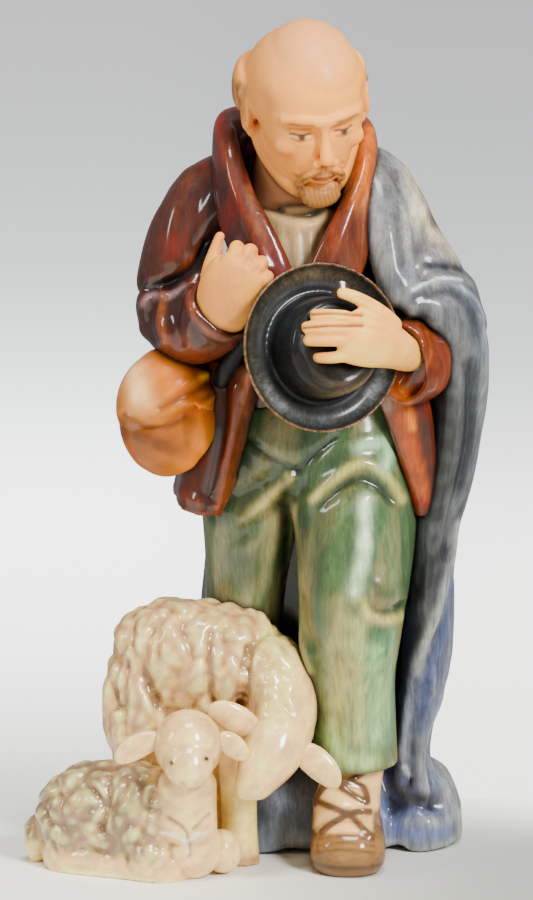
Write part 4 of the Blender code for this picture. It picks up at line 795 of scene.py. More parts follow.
# The shirt: a plain grey-beige smock with a round neck, seen in the opening of the coat. Its neckline and
# its soft folds are cut into the clay, and its thin wash of paint is left nearly dull.
def shirt(bm):
    stack(bm, [
        (100, -9, 12, -12, 6), (112, -9, 12, -16.0, 6), (122, -8.5, 11.5, -16.4, 6),
        (130, -7.8, 10.5, -14.6, 6), (135, -7, 9.5, -12.4, 6), (138, -6, 8.6, -10.4, 6),
    ])


def carve_shirt(skin):
    skin.carve([(-7, 134.4), (-2, 131.4), (2.4, 130.6), (6, 131.4), (9.4, 134.2)], 0.9, -0.9, "front")
    skin.carve([(-7, 132.6), (-2, 129.6), (2.4, 128.8), (6, 129.6), (9.4, 132.4)], 1.1, 0.4, "front")
    for x, run in ((-3.6, 1.2), (-0.6, 0.8), (2.6, 0.2), (5.6, -0.6)):
        skin.carve([(x, 127), (x + run * 0.6, 122), (x + run, 116)], 1.2, -0.6, "front")


def paint_shirt(skin):
    skin.start(srgb(204, 184, 156))
    skin.wash(srgb(222, 204, 176), ramp(cloud(skin.co * (1, 1, 0.3), 5, 2), 0.5, 1), 0.6)
    # painted shade below the neckline, in the folds and in strokes down both sides; a near-black line along
    # the neckline
    skin.wash(srgb(146, 138, 118), ramp(132 - skin.co[:, 2], 0, 7), 0.75)
    shade_folds(skin, srgb(72, 66, 56), srgb(224, 208, 184), deep=0.3, proud=0.3)
    skin.stroke([
        (-7.4, 134.6), (-2, 131.6), (2.4, 130.8), (6, 131.6), (9.6, 134.6)
    ], 0.9, srgb(28, 28, 34), 0.85)
    skin.stroke([(-6, 128), (-4, 120), (-1, 114)], 1.4, srgb(112, 110, 96), 0.7)
    skin.stroke([(7.6, 128), (7, 121), (5.4, 115)], 1.6, srgb(94, 92, 80), 0.7)
    skin.stroke([(0.6, 118), (2.6, 115)], 2.4, srgb(110, 106, 90), 0.6)


shirt_glaze = glazed("grey_beige_glaze", streak=0.22, coat=0.25, sheen=0.25)
cast("shirt", shirt, shirt_glaze, 0.55, carve_shirt, paint_shirt, calm=4)


# The head: bald on top, bowed and turned a little to its left, with a fringe of fair hair, a moustache
# and a chin beard. The face is a plain calm one on a sculptor's usual proportions, in flesh paint that is
# blushed on the cheeks, with features drawn in by a fine brush.
HEAD_AT = Vector((3.3, -11, 157.0))
HEAD_TILT = Euler((math.radians(24), math.radians(-6), math.radians(14)), "XYZ")
HEAD_PLACE = Matrix.Translation(HEAD_AT) @ HEAD_TILT.to_matrix().to_4x4()


def in_head(build):
    """A form drawn in the head's own frame, set in its place."""
    def made(bm):
        own = bmesh.new()
        build(own)
        own.transform(HEAD_PLACE)
        mesh = bpy.data.meshes.new("head")
        own.to_mesh(mesh)
        own.free()
        bm.from_mesh(mesh)
        bpy.data.meshes.remove(mesh)
    return made


def head_line(*points):
    """A stroke given in the head's own frame: sideways, backwards, upwards."""
    return [tuple(HEAD_PLACE @ Vector(p)) for p in points]


def skull(bm):
    ball(bm, (0, 2.0, 4.0), (12.2, 14.4, 11.4))
    ball(bm, (0.8, 1.4, 6.8), (10.0, 12.6, 10.2))
    ball(bm, (0, 5.0, -1.0), (10.6, 10.6, 9.5))
    limb(bm, [
        (0, -1.6, 8, 10.6, 10.4), (0, -2.4, 3, 10.8, 10.2), (0, -2.8, -2, 10.2, 9.6),
        (0, -3.2, -6.5, 9.0, 9.2), (0, -4.0, -11, 7.2, 8.0), (0, -5.0, -14.6, 4.8, 6.0),
    ], around=40, rings=40, power=2.25, blunt=0.6)
    for side in SIDES:
        # jaw, cheekbone
        limb(bm, [
            (8.6 * side, 2, -3, 2.2, 3.4), (7.8 * side, -0.4, -8.4, 2.2, 3.2),
            (5.2 * side, -5.6, -12.6, 2.4, 2.8), (2 * side, -8.6, -14.6, 2.4, 2.4),
        ], across=(0, 0, 1), blunt=0.6)
        ball(bm, (6.3 * side, -8.2, -3.0), (3.2, 2.9, 2.5), fine=3)
    ball(bm, (0, -9.2, -14.0), (3.4, 2.6, 2.6))
    # brow and nose
    limb(bm, [
        (-8.0, -8.6, 3.0, 1.2, 1.4), (-4.2, -11.6, 3.7, 1.3, 1.4), (0, -12.4, 3.2, 1.3, 1.2),
        (4.2, -11.6, 3.7, 1.3, 1.4), (8.0, -8.6, 3.0, 1.2, 1.4),
    ], across=(0, 0, 1), around=16)
    limb(bm, [
        (0, -11.8, 3.4, 1.3, 1.2), (0, -13.2, -0.4, 1.15, 1.3), (0, -14.9, -3.8, 1.5, 1.5),
        (0, -15.2, -5.2, 1.75, 1.4),
    ], around=18, blunt=0.9)
    for side in SIDES:
        ball(bm, (1.75 * side, -13.2, -5.4), (1.3, 1.6, 1.1), fine=3)
    # lips
    limb(bm, [
        (-2.7, -11.5, -9.2, 0.6, 0.8), (0, -12.9, -8.8, 0.75, 0.9), (2.7, -11.5, -9.2, 0.6, 0.8)
    ], across=(0, 0, 1), around=14)
    limb(bm, [
        (-2.3, -11.4, -10.3, 0.6, 0.8), (0, -12.6, -10.4, 0.8, 0.9), (2.3, -11.4, -10.3, 0.6, 0.8)
    ], across=(0, 0, 1), around=14)
    # moustache and chin beard
    for side in SIDES:
        limb(bm, [
            (0.4 * side, -13.2, -7.0, 0.9, 0.9), (2.4 * side, -12.6, -8.0, 1.1, 1.1),
            (4.0 * side, -11.2, -10.2, 1.0, 1.0), (4.4 * side, -10.2, -12.2, 0.7, 0.8),
        ], across=(0, 0, 1), around=16, blunt=0.9)
    ball(bm, (0, -10.4, -14.4), (4.4, 2.9, 3.2))
    # ears
    for side in SIDES:
        ball(bm, (12.0 * side, 1.8, -0.6), (1.5, 2.6, 4.3), turned=(-12, 0, 14 * side))
        ball(bm, (11.4 * side, 0.6, -4.4), (1.1, 1.3, 1.5))
    # the fringe of hair round the back
    limb(bm, [
        (-11.6, 1.5, 4.6, 2.4, 1.2), (-12.2, 5.4, 3.0, 4.8, 1.9), (-9.8, 11.2, 1.0, 6.2, 2.3),
        (-5.0, 14.6, -0.4, 6.6, 1.9), (0, 15.8, -0.8, 6.8, 1.9), (5.0, 14.6, -0.4, 6.6, 1.9),
        (9.4, 11.2, 1.0, 6.0, 1.8), (11.9, 5.4, 3.2, 4.6, 1.5), (11.6, 1.5, 4.6, 2.4, 1.2),
    ], across=(0, 0, 1), around=28, rings=60, blunt=0.7)


def neck(bm):
    limb(bm, [
        (0, 0, 128, 9, 9), (0.4, -2.5, 138, 8.6, 8.6), (1.2, -5.5, 146, 8.2, 8.6), (2.2, -7, 154, 7.4, 8)
    ], blunt=0.2)


def carve_head(skin):
    for side in SIDES:
        # sockets, lids and the lines round them
        skin.carve(head_line((3.0 * side, -11.8, 0.8), (5.8 * side, -10.4, 1.0)), 2.2, -1.3)
        skin.carve(head_line((2.0 * side, -12.2, 0.4)), 1.6, -0.7)
        skin.carve(head_line((4.4 * side, -11.4, 0.2)), 2.4, 1.1)
        skin.carve(
            head_line((2.6 * side, -12.0, 1.2), (4.5 * side, -12.0, 2.0), (6.6 * side, -10.6, 1.0)),
            0.6,
            -0.35,
        )
        skin.carve(
            head_line((2.6 * side, -12.0, -0.5), (4.5 * side, -12.2, -1.2), (6.5 * side, -10.6, -0.4)),
            0.6,
            -0.3,
        )
        skin.carve(
            head_line((2.5 * side, -12.0, 0.2), (4.4 * side, -12.6, 0.8), (6.4 * side, -10.9, 0.2)),
            0.55,
            0.25,
        )
        # cheek hollow, nose to mouth fold, temple
        skin.carve(
            head_line((2.6 * side, -13.0, -5.0), (3.8 * side, -12.2, -7.0), (4.8 * side, -11, -8.6)),
            0.9,
            -0.6,
        )
        skin.carve(head_line((7.4 * side, -7.4, -7.4)), 3.2, -0.9)
        skin.carve(head_line((10.6 * side, -5.2, 4.6)), 3.4, -0.6)
        # the ear's bowl and rim
        skin.carve(head_line((13.4 * side, 0.6, -1.2), (13.6 * side, 1.2, 1.2)), 1.4, -1.2)
        skin.carve(
            head_line(
                (12.8 * side, -0.4, 1.6), (13.2 * side, 1.8, 3.7), (13.0 * side, 3.9, 1.2),
                (12.8 * side, 3.4, -2.4),
            ),
            0.8,
            0.5,
        )
        for k in range(5):
            skin.carve(
                head_line(
                    ((0.8 + 0.75 * k) * side, -14 + 0.45 * k, -7.0 - 0.5 * k),
                    ((1.4 + 0.9 * k) * side, -13.4 + 0.4 * k, -8.6 - 0.8 * k),
                ),
                0.45,
                -0.3,
            )
    skin.carve(head_line((-2.6, -12.6, -9.75), (0, -13.8, -9.6), (2.6, -12.6, -9.75)), 0.55, -0.6)
    skin.carve(head_line((0, -14.4, -7.2), (0, -14.0, -8.4)), 0.6, -0.3)
    skin.carve(head_line((-2.0, -12.2, -11.9), (0, -12.8, -12.0), (2.0, -12.2, -11.9)), 1.0, -0.6)
    for k in range(-4, 5):
        skin.carve(
            head_line(
                (0.8 * k, -13.6 + 0.12 * k * k, -12.6), (1.1 * k, -13.2 + 0.15 * k * k, -14.8),
                (0.9 * k, -11.2 + 0.15 * k * k, -17),
            ),
            0.5,
            -0.35,
        )
    # locks of the fringe
    for k in range(-8, 9):
        turn = k * 0.19
        a, b = 13.6 * math.sin(turn), 3 + 13.8 * math.cos(turn)
        skin.carve(
            head_line((a * 0.96, b - 0.4, 5.0), (a * 1.02 + 0.5, b, 0.6), (a * 0.98 - 0.3, b - 0.6, -4.6)),
            0.75,
            -0.55,
        )


FLESH = srgb(238, 204, 172)
BLUSH = srgb(226, 158, 132)
BEARD = srgb(166, 124, 88)
HAIR = srgb(196, 158, 120)
BROWN_LINE = srgb(84, 50, 32)


def paint_head(skin):
    at = (skin.co - np.array(HEAD_AT)) @ np.array(HEAD_TILT.to_matrix())
    side, back, up = at.T
    mirrored = np.abs(side)
    skin.start(FLESH)
    skin.wash(srgb(222, 194, 166), ramp(up, 9, 15), 0.7)
    # painted shade down the head's right side, in its hollows and under the jaw
    skin.wash(srgb(204, 162, 130), ramp(-side, 4, 11), 0.5)
    skin.wash(srgb(216, 168, 136), ramp(skin.hollow(12), 0.05, 0.4), 0.45)
    skin.wash(srgb(196, 148, 118), ramp(-up, 8, 17) * ramp(back, -9, -5), 0.5)
    front = ramp(-back, 2, 6)

    def spot(x, z, wide, high):
        return np.exp(-(((mirrored - x) / wide) ** 2) - ((up - z) / high) ** 2) * front

    skin.wash(BLUSH, spot(6.8, -5.0, 2.8, 2.4), 0.4)
    skin.wash(BLUSH, spot(0, -5.6, 1.8, 1.2), 0.25)
    skin.wash(srgb(206, 150, 112), spot(4.4, 1.9, 3.2, 0.9), 0.5)
    # beard and moustache
    chin = ramp(-up, 11.3, 12.6) * ramp(-back, 7.4, 8.6) * ramp(5.6 - mirrored, 0, 1.2)
    lip_line = -7.6 - 0.10 * mirrored**2
    moustache = (
        np.exp(-((up - lip_line + 0.3) / 0.95) ** 2) * ramp(5.0 - mirrored, 0, 0.8) * ramp(-back, 9.6, 10.6)
    )
    corner = (
        np.exp(-((mirrored - 4.3) / 0.9) ** 2) * ramp(-up, 8.8, 9.8) * ramp(up, -14, -12.6)
        * ramp(-back, 8.4, 9.4)
    )
    strands = 0.86 + 0.14 * np.sin(side * 7 + np.sin(up * 1.3) * 2)
    for hair in (chin, moustache, corner):
        skin.wash(BEARD, np.clip(hair * 1.15, 0, 1) * strands, 0.85)
    # lips
    mouth = ramp(2.7 - mirrored, 0, 0.7) * ramp(-back, 10.6, 11.2)
    skin.wash(srgb(196, 96, 82), mouth * np.exp(-((up + 9.2 + 0.03 * mirrored**2) / 0.5) ** 2), 0.8)
    skin.wash(srgb(206, 110, 94), mouth * np.exp(-((up + 10.45) / 0.55) ** 2), 0.8)
    skin.wash(srgb(96, 44, 38), mouth * np.exp(-((up + 9.8) / 0.22) ** 2), 0.9)
    # brows, lids and eyes looking down
    brow = (
        np.exp(-((up - 3.5 + 0.035 * (mirrored - 4.2) ** 2) / 0.45) ** 2) * ramp(mirrored, 1.8, 2.6)
        * ramp(8.0 - mirrored, 0, 1.6) * front
    )
    skin.wash(srgb(118, 78, 50), brow * (0.8 + 0.2 * np.sin(side * 14 + up * 5)), 0.85)
    lid = 0.55 - 0.075 * (mirrored - 4.4) ** 2
    across = ramp(mirrored, 2.1, 2.5) * ramp(6.8 - mirrored, 0, 0.4) * front
    opening = ramp(lid - up, -0.05, 0.2) * ramp(up + 0.62 - 0.05 * (mirrored - 4.4) ** 2, 0, 0.2) * across
    skin.wash(srgb(226, 210, 192), opening, 0.75)
    iris = np.exp(-(((mirrored - 4.4) / 0.85) ** 4)) * opening
    skin.wash(srgb(70, 48, 34), iris, 0.95)
    skin.wash(BROWN_LINE, np.exp(-((up - lid) / 0.24) ** 2) * across, 0.95)
    skin.wash(srgb(170, 110, 82), np.exp(-((up + 0.75) / 0.22) ** 2) * across, 0.5)
    skin.wash(srgb(186, 126, 92), np.exp(-((up - lid - 1.15) / 0.22) ** 2) * across, 0.55)
    # the fringe, in fair strands
    ring = np.hypot(side, back - 2.5)
    low_edge, high_edge = ramp(up, -7.2, -5.6), ramp(5.8 - up - 0.25 * np.sin(side * 2.1), 0, 1.2)
    fringe = ramp(back, 0.4, 3.0) * ramp(ring, 11.4, 12.6) * low_edge * high_edge
    locks = 0.5 + 0.5 * np.sin(np.arctan2(side, back) * 46 + np.sin(up * 0.9) * 1.4)
    skin.wash(HAIR, fringe, 0.85)
    skin.wash(srgb(146, 102, 66), fringe * locks, 0.65)
    # ears, and painted shade in their hollows and in the deepest hollows of the head
    ear = ramp(mirrored, 12.0, 12.8) * ramp(3.6 - back, 0, 1)
    deep = skin.hollow(6)
    skin.wash(srgb(206, 160, 132), ear * ramp(deep, 0.0, 0.15), 0.5)
    skin.wash(srgb(198, 176, 160), ramp(deep, 0.12, 0.4), 0.6)


def paint_neck(skin):
    skin.start(srgb(206, 170, 142))
    # darker towards the top: painted shade under the jaw
    skin.wash(srgb(160, 116, 90), ramp(skin.co[:, 2], 139, 146), 0.5)


flesh_glaze = glazed("flesh_glaze", streak=0.03, fine=0.6, roughness=0.45, coat=0.12, sheen=0.3)
cast("head", in_head(skull), flesh_glaze, 0.31, carve_head, paint_head, rounds=6)
cast("neck", neck, flesh_glaze, 0.7, None, paint_neck)


# The hands: the right one a loose fist at the chest, the left one spread flat on the hat's crown. The
# clay fingers lie together with furrows between them, under flesh paint with a dull glaze.
def left_hand(bm):
    """Laid flat on the hat's crown, fingers towards the other side."""
    limb(bm, [
        (25.0, -13.5, 106.6, 3.2, 3.4), (23.2, -20.0, 107.8, 3.5, 3.4), (20.4, -27.0, 110.2, 4.3, 3.0),
        (16.6, -32.0, 112.4, 5.6, 2.5), (12.2, -34.6, 113.8, 5.7, 2.0), (9.6, -35.2, 114.6, 5.0, 1.7),
    ], across=(0.2, 0, 1), around=32, rings=40, blunt=0.5)
    fingers = [
        ((12, -34.4, 117.4), (7.4, -35.8, 118.0), (3.6, -34.8, 118.0), 1.35),
        ((12, -35.0, 115.2), (6.8, -36.5, 115.7), (1.9, -35.2, 115.5), 1.4),
        ((12, -34.8, 112.9), (7.0, -36.2, 113.2), (2.2, -34.8, 112.8), 1.35),
        ((13, -34.0, 110.0), (8.4, -35.2, 109.5), (3.6, -33.8, 109.2), 1.2),
    ]
    for a, b, c, r in fingers:
        limb(
            bm,
            [(*a, r, 1.5), (*b, r, 1.4), (*c, r * 0.86, 1.1)],
            across=(0, 0, 1),
            around=16,
            rings=18,
            blunt=0.9,
        )
    limb(bm, [
        (21.0, -27.6, 113.4, 2.6, 2.2), (17.6, -31.4, 117.6, 2.0, 1.9), (13.4, -33.6, 121.0, 1.35, 1.4),
        (9.0, -34.0, 122.6, 1.15, 1.1),
    ], across=(0, 0, 1), around=16, rings=18, blunt=0.9)


def right_hand(bm):
    """A loose fist at the chest, its back outwards and the thumb up beside the lapel."""
    limb(bm, [
        (-15.8, -13.0, 112.5, 5, 4.6), (-14.2, -18.0, 115.5, 5.4, 4.6), (-12.4, -22.0, 120.6, 6.3, 4.2),
        (-10.4, -24.2, 125.4, 5.6, 3.6), (-9.2, -24.0, 127.8, 4.4, 2.8),
    ], across=(1, 0, -0.5), around=32, rings=32, blunt=0.5)
    knuckles = [
        ((-11.4, -24.8, 127.2), (-11.0, -22.8, 129.8), (-10.2, -19.4, 128.8)),
        ((-9.1, -25.6, 127.2), (-8.3, -23.6, 129.3), (-7.6, -20.0, 128.2)),
        ((-7.2, -25.6, 125.4), (-6.0, -23.8, 126.9), (-5.6, -20.4, 126.0)),
        ((-6.2, -25.2, 122.9), (-4.9, -23.6, 123.9), (-4.8, -20.4, 123.2)),
    ]
    for a, b, c in knuckles:
        limb(
            bm,
            [(*a, 1.5, 1.6), (*b, 1.4, 1.5), (*c, 1.3, 1.3)],
            across=(1, 0, -0.6),
            around=16,
            rings=16,
            blunt=0.9,
        )
    limb(bm, [
        (-16.4, -19.5, 120, 2.2, 2.1), (-16.2, -21.0, 125, 1.7, 1.7), (-15.0, -21.2, 129.4, 1.3, 1.4),
        (-13.9, -20.8, 132.8, 0.9, 1.0),
    ], across=(1, 0, 0), around=16, rings=18, blunt=0.9)


FINGER_GAPS = ([(2.2, 109.9), (8, 110.4), (14, 110.0)], [(1.8, 107.4), (8, 107.9), (14, 107.9)])
FIST_GAPS = (
    [(-10.2, 124.6), (-11.0, 122.6)], [(-7.7, 123.0), (-8.8, 121.2)], [(-6.2, 120.4), (-7.4, 119.0)]
)


def carve_left_hand(skin):
    for gap in FINGER_GAPS:
        skin.carve(gap, 0.5, -0.8, "front")
    skin.carve_all("front", (
        ([(14, 110.0), (18.5, 108.4)], 0.8, -0.25),
        ([(14, 107.8), (18.5, 106.8)], 0.8, -0.25),
        ([(13, 113.6), (18.6, 111.4)], 0.8, -0.35),
    ))


def carve_right_hand(skin):
    for gap in FIST_GAPS:
        skin.carve(gap, 0.7, -0.3, "front")
    skin.carve([(-13.4, 125), (-14.6, 121.5)], 0.9, -0.4, "front")


def paint_hand(skin, flesh, pale, creases, strength):
    skin.start(flesh)
    skin.wash(pale, ramp(cloud(skin.co, 7, 4), 0.4, 0.9), 0.5)
    # painted shade in the hollows and in brown lines between the fingers
    skin.wash(srgb(190, 138, 98), ramp(skin.hollow(8), 0.03, 0.28), 0.7)
    skin.wash(srgb(206, 154, 112), ramp(skin.hollow(40), 0.15, 0.8), 0.35)
    for crease in creases:
        skin.stroke(crease, 0.42, srgb(176, 118, 76), strength)


def paint_left_hand(skin):
    paint_hand(skin, srgb(240, 210, 182), srgb(246, 228, 208), FINGER_GAPS, 0.7)
    skin.grain = skin.co * np.array((0.14, 0.6, 1.0))


def paint_right_hand(skin):
    paint_hand(skin, srgb(224, 188, 150), srgb(240, 212, 178), FIST_GAPS, 0.25)


flesh_brushed = glazed("brushed_flesh_glaze", streak=0.07, fine=0.8, roughness=0.48, coat=0.08, sheen=0.3)
cast("left_hand", left_hand, flesh_brushed, 0.29, carve_left_hand, paint_left_hand, rounds=8)
cast("right_hand", right_hand, flesh_brushed, 0.29, carve_right_hand, paint_right_hand, rounds=8)


# The hat: a round black felt hat held to the chest, crown outwards, its brim curling to a pale worn edge.
# One turned form of clay, leaned back by HAT_TIP degrees and painted black with dry strokes of beige and
# grey, the grey on the lower brim partly the paint's own and partly a painted highlight.
HAT_AT = (5.4, -23.5, 109.6)
HAT_TURN = 22
HAT_TIP = 10
HAT_PLACE = (
    Matrix.Translation(Vector(HAT_AT)) @ Matrix.Rotation(math.radians(HAT_TURN), 4, "Z")
    @ Matrix.Rotation(math.radians(90 - HAT_TIP), 4, "X")
)


def hat(bm):
    """Turned about its own axis, then laid against the belly, crown outwards."""
    profile = [
        (0, 10.4), (4, 9.9), (7.2, 10.6), (9.2, 10.0), (9.9, 7.5), (10.3, 3.4), (10.9, 1.3), (12.4, 0.9),
        (14.4, 1.0), (16.2, 2.2), (16.9, 2.9), (17.1, 2.4), (16.4, 1.0), (14.6, -0.3), (12, -0.9),
        (6, -0.9), (0, -0.9),
    ]
    rows = curve_through(profile, 90)
    last = len(rows) - 1

    def surface(turn, rise):
        r, h = rows[min(int(rise * last), last)]
        angle = 2 * math.pi * turn
        r = max(r, 0.0)
        wave = 0.5 * math.sin(2 * angle + 0.6) * (r / 17) ** 2
        return HAT_PLACE @ Vector((r * math.cos(angle), r * math.sin(angle), h + wave))

    wrap(bm, surface, 72, last)


def carve_hat(skin):
    turned = np.array(HAT_PLACE.to_3x3())
    at = (skin.co - np.array(HAT_AT)) @ turned
    ring = np.hypot(at[:, 0], at[:, 1])
    facing = np.clip(skin.no @ turned[:, 2], 0, 1)
    # a dent along the crown and a groove for the band
    skin.co -= (
        skin.no
        * (
            np.exp(-(((at[:, 0] - 1) / 3.6) ** 2) - (at[:, 1] / 6.5) ** 2) * ramp(at[:, 2], 7, 9) * facing
            * 1.0
        )[:, None]
    )
    skin.co -= skin.no * (np.exp(-((ring - 11.2) / 0.8) ** 2) * ramp(4 - at[:, 2], 0, 2) * 0.35)[:, None]


def paint_hat(skin):
    turned = np.array(HAT_PLACE.to_3x3())
    at = (skin.co - np.array(HAT_AT)) @ turned
    ring, angle = np.hypot(at[:, 0], at[:, 1]), np.arctan2(at[:, 1], at[:, 0])
    skin.start(srgb(34, 33, 30))
    skin.wash(srgb(16, 13, 10), ramp(11 - ring, 0, 1.5), 0.9)
    skin.wash(srgb(24, 24, 26), np.exp(-((ring - 11.3) / 1.6) ** 2), 0.85)
    # grey on the lower brim and pale grey dabs on it: partly the paint's own grey, partly painted
    # highlights
    skin.wash(
        srgb(78, 84, 84), np.exp(-((ring - 14.6) / 1.2) ** 2) * (0.4 + 0.6 * ramp(-at[:, 1], -4, 12)), 0.6
    )
    for centre, wide, strength in ((-2.35, 0.32, 0.5), (-0.62, 0.3, 0.6), (-1.5, 0.5, 0.15)):
        skin.wash(
            srgb(170, 172, 170),
            np.exp(-((ring - 14.4) / 1.3) ** 2 - ((angle - centre) / wide) ** 2),
            strength,
        )
    skin.wash(
        srgb(176, 154, 122),
        np.exp(-((ring - 9.6) / 0.8) ** 2 - ((angle + 1.15) / 0.6) ** 2) * ramp(at[:, 2], 2, 5),
        0.85,
    )
    skin.wash(
        srgb(126, 106, 80),
        np.exp(-((ring - 7.6) / 0.8) ** 2 - ((angle + 1.6) / 0.7) ** 2) * ramp(at[:, 2], 5, 8),
        0.6,
    )
    skin.wash(srgb(146, 128, 100), np.exp(-((ring - 15.0) / 1.1) ** 2 - ((angle - 1.6) / 0.6) ** 2), 0.7)
    skin.wash(
        srgb(104, 92, 70), np.exp(-((ring - 15.2) / 1.0) ** 2 - ((np.abs(angle) - 3.0) / 0.6) ** 2), 0.6
    )
    skin.wash(srgb(60, 84, 78), np.exp(-((ring - 9.8) / 1.4) ** 2 - ((angle - 2.6) / 0.5) ** 2), 0.3)
    skin.wash(srgb(170, 134, 96), ramp(ring, 16.4, 16.8), 0.8)
    skin.grain = np.stack([ring * 1.4, angle * 3.0, at[:, 2]], 1)
    brim = ramp(ring, 11.5, 12.5)[:, None]
    skin.grain = skin.grain * (1 - brim) + np.stack([ring * 0.35, angle * 13.0, at[:, 2]], 1) * brim


black_glaze = glazed("black_glaze", streak=0.6, fine=1.4, coat=0.22, sheen=0.16)
cast("hat", hat, black_glaze, 0.4, carve_hat, paint_hat)


# The bag: an ochre leather satchel at the right hip, its flap rolled at the edge and closed by a small
# stud. It is modelled on the hip, and the end of its black strap goes up under the coat.
def bag(bm):
    limb(bm, [
        (-24.4, -4, 104, 5.6, 5), (-24.8, -5, 97, 9.2, 7.4), (-24.6, -6, 91, 10.3, 8.2),
        (-22.4, -6, 85.4, 8.4, 7.2), (-20.4, -5.6, 82.4, 4.8, 4.6),
    ], around=48, rings=48, power=2.2, blunt=0.6)


def bag_flap(bm):
    limb(bm, [
        (-21.0, -4.5, 104.8, 6.0, 6), (-23.2, -5.4, 100.6, 8.6, 8.4), (-25.4, -6.4, 95.6, 10.2, 9.4),
        (-24.0, -6.8, 91.8, 10.6, 9.5),
    ], across=(1, 0, 0.35), around=48, rings=36, power=2.2, blunt=0.35)


def bag_strap(bm):
    limb(bm, [
        (-14.5, -9, 99.6, 1.8, 2.2), (-12.8, -12.0, 104, 2.0, 2.0), (-9.6, -13.4, 109, 2.0, 1.6),
        (-5, -14.0, 114, 1.9, 1.4),
    ], around=16, rings=24, blunt=0.7)


def bag_stud(bm):
    ball(bm, (-33.6, -9.4, 91.0), (0.9, 1.1, 1.2), fine=3)


def carve_bag(skin):
    skin.carve_all("front", (
        ([(-30, 86), (-26, 82.4), (-20, 80)], 2.2, 0.4),
        ([(-17.2, 96), (-18, 90), (-17.2, 83)], 1.8, 0.5),
        ([(-20.4, 90), (-20.6, 85)], 1.8, -0.5),
    ))


def carve_bag_flap(skin):
    skin.carve_all("front", (
        ([(-16.2, 97.2), (-21, 94.6), (-26.4, 91.8)], 1.5, -0.8),
        ([(-15.6, 99.6), (-20, 97.6), (-25, 94.6)], 1.3, 0.6),
        ([(-34.6, 91.2), (-30, 88.9), (-24, 89.2), (-18, 92.4), (-15, 95.4)], 0.9, 0.6),
    ))


OCHRE = srgb(212, 152, 88)
CARAMEL = srgb(176, 104, 50)
CREAM = srgb(244, 216, 186)


def paint_bag(skin):
    skin.start(OCHRE)
    skin.wash(CARAMEL, ramp(cloud(skin.co, 10, 5), 0.55, 1), 0.35)
    # painted shade in the folds and painted highlights on them; the strokes add a painted highlight on the
    # flap and painted shadow under its edge
    shade_folds(skin, srgb(112, 56, 26), CREAM, deep=0.4, proud=0.4, lighten=0.3)
    skin.stroke_all((
        ([(-31.4, 99.4), (-30.6, 94)], 4.2, srgb(238, 216, 196), 0.9),
        ([(-27.5, 101), (-24.5, 97)], 3.4, srgb(226, 170, 116), 0.7),
        ([(-20, 101), (-17.4, 97)], 2.4, srgb(196, 112, 50), 0.7),
        ([(-33.6, 90.6), (-29, 88.2), (-24, 88.6), (-18.6, 92)], 1.0, srgb(150, 80, 36), 0.75),
        ([(-34.6, 87.4), (-29.4, 85.4), (-24.6, 84)], 3.6, srgb(134, 74, 34), 0.85),
        ([(-31, 82), (-27, 79)], 3.0, srgb(176, 108, 54), 0.5),
        ([(-27.5, 76), (-22.5, 76), (-19.6, 80)], 2.8, srgb(238, 194, 132), 0.7),
        ([(-22, 96), (-20.8, 92)], 2.6, srgb(228, 166, 104), 0.75),
        ([(-18.6, 94), (-17.6, 89), (-18.0, 84), (-20.4, 79)], 2.4, srgb(236, 184, 120), 0.9),
        ([(-16.2, 97.2), (-21, 94.6), (-26.4, 91.8)], 1.0, srgb(160, 92, 44), 0.6),
        ([(-15.2, 99.0), (-18, 98.4)], 1.0, srgb(240, 216, 180), 0.7),
    ))
    # painted light on the bag's right edge, where the coat shades it
    skin.wash(srgb(248, 206, 140), ramp(skin.co[:, 0], -21, -17.5) * ramp(93 - skin.co[:, 2], 0, 3), 0.8)
    skin.grain = skin.co * np.array((0.5, 0.5, 0.3))


def paint_strap(skin):
    skin.start(srgb(10, 8, 9))


def paint_stud(skin):
    skin.start(srgb(150, 92, 54))


leather_glaze = glazed("ochre_glaze", streak=0.12, fine=0.7, roughness=0.4, coat=0.3, sheen=0.25)
strap_glaze = glazed("black_strap_glaze", streak=0.1, coat=0.15)
cast("bag", bag, leather_glaze, 0.45, carve_bag, paint_bag)
cast("bag_flap", bag_flap, leather_glaze, 0.45, carve_bag_flap, paint_bag)
cast("bag_stud", bag_stud, leather_glaze, 0.25, None, paint_stud)
cast("bag_strap", bag_strap, strap_glaze, 0.45, None, paint_strap)


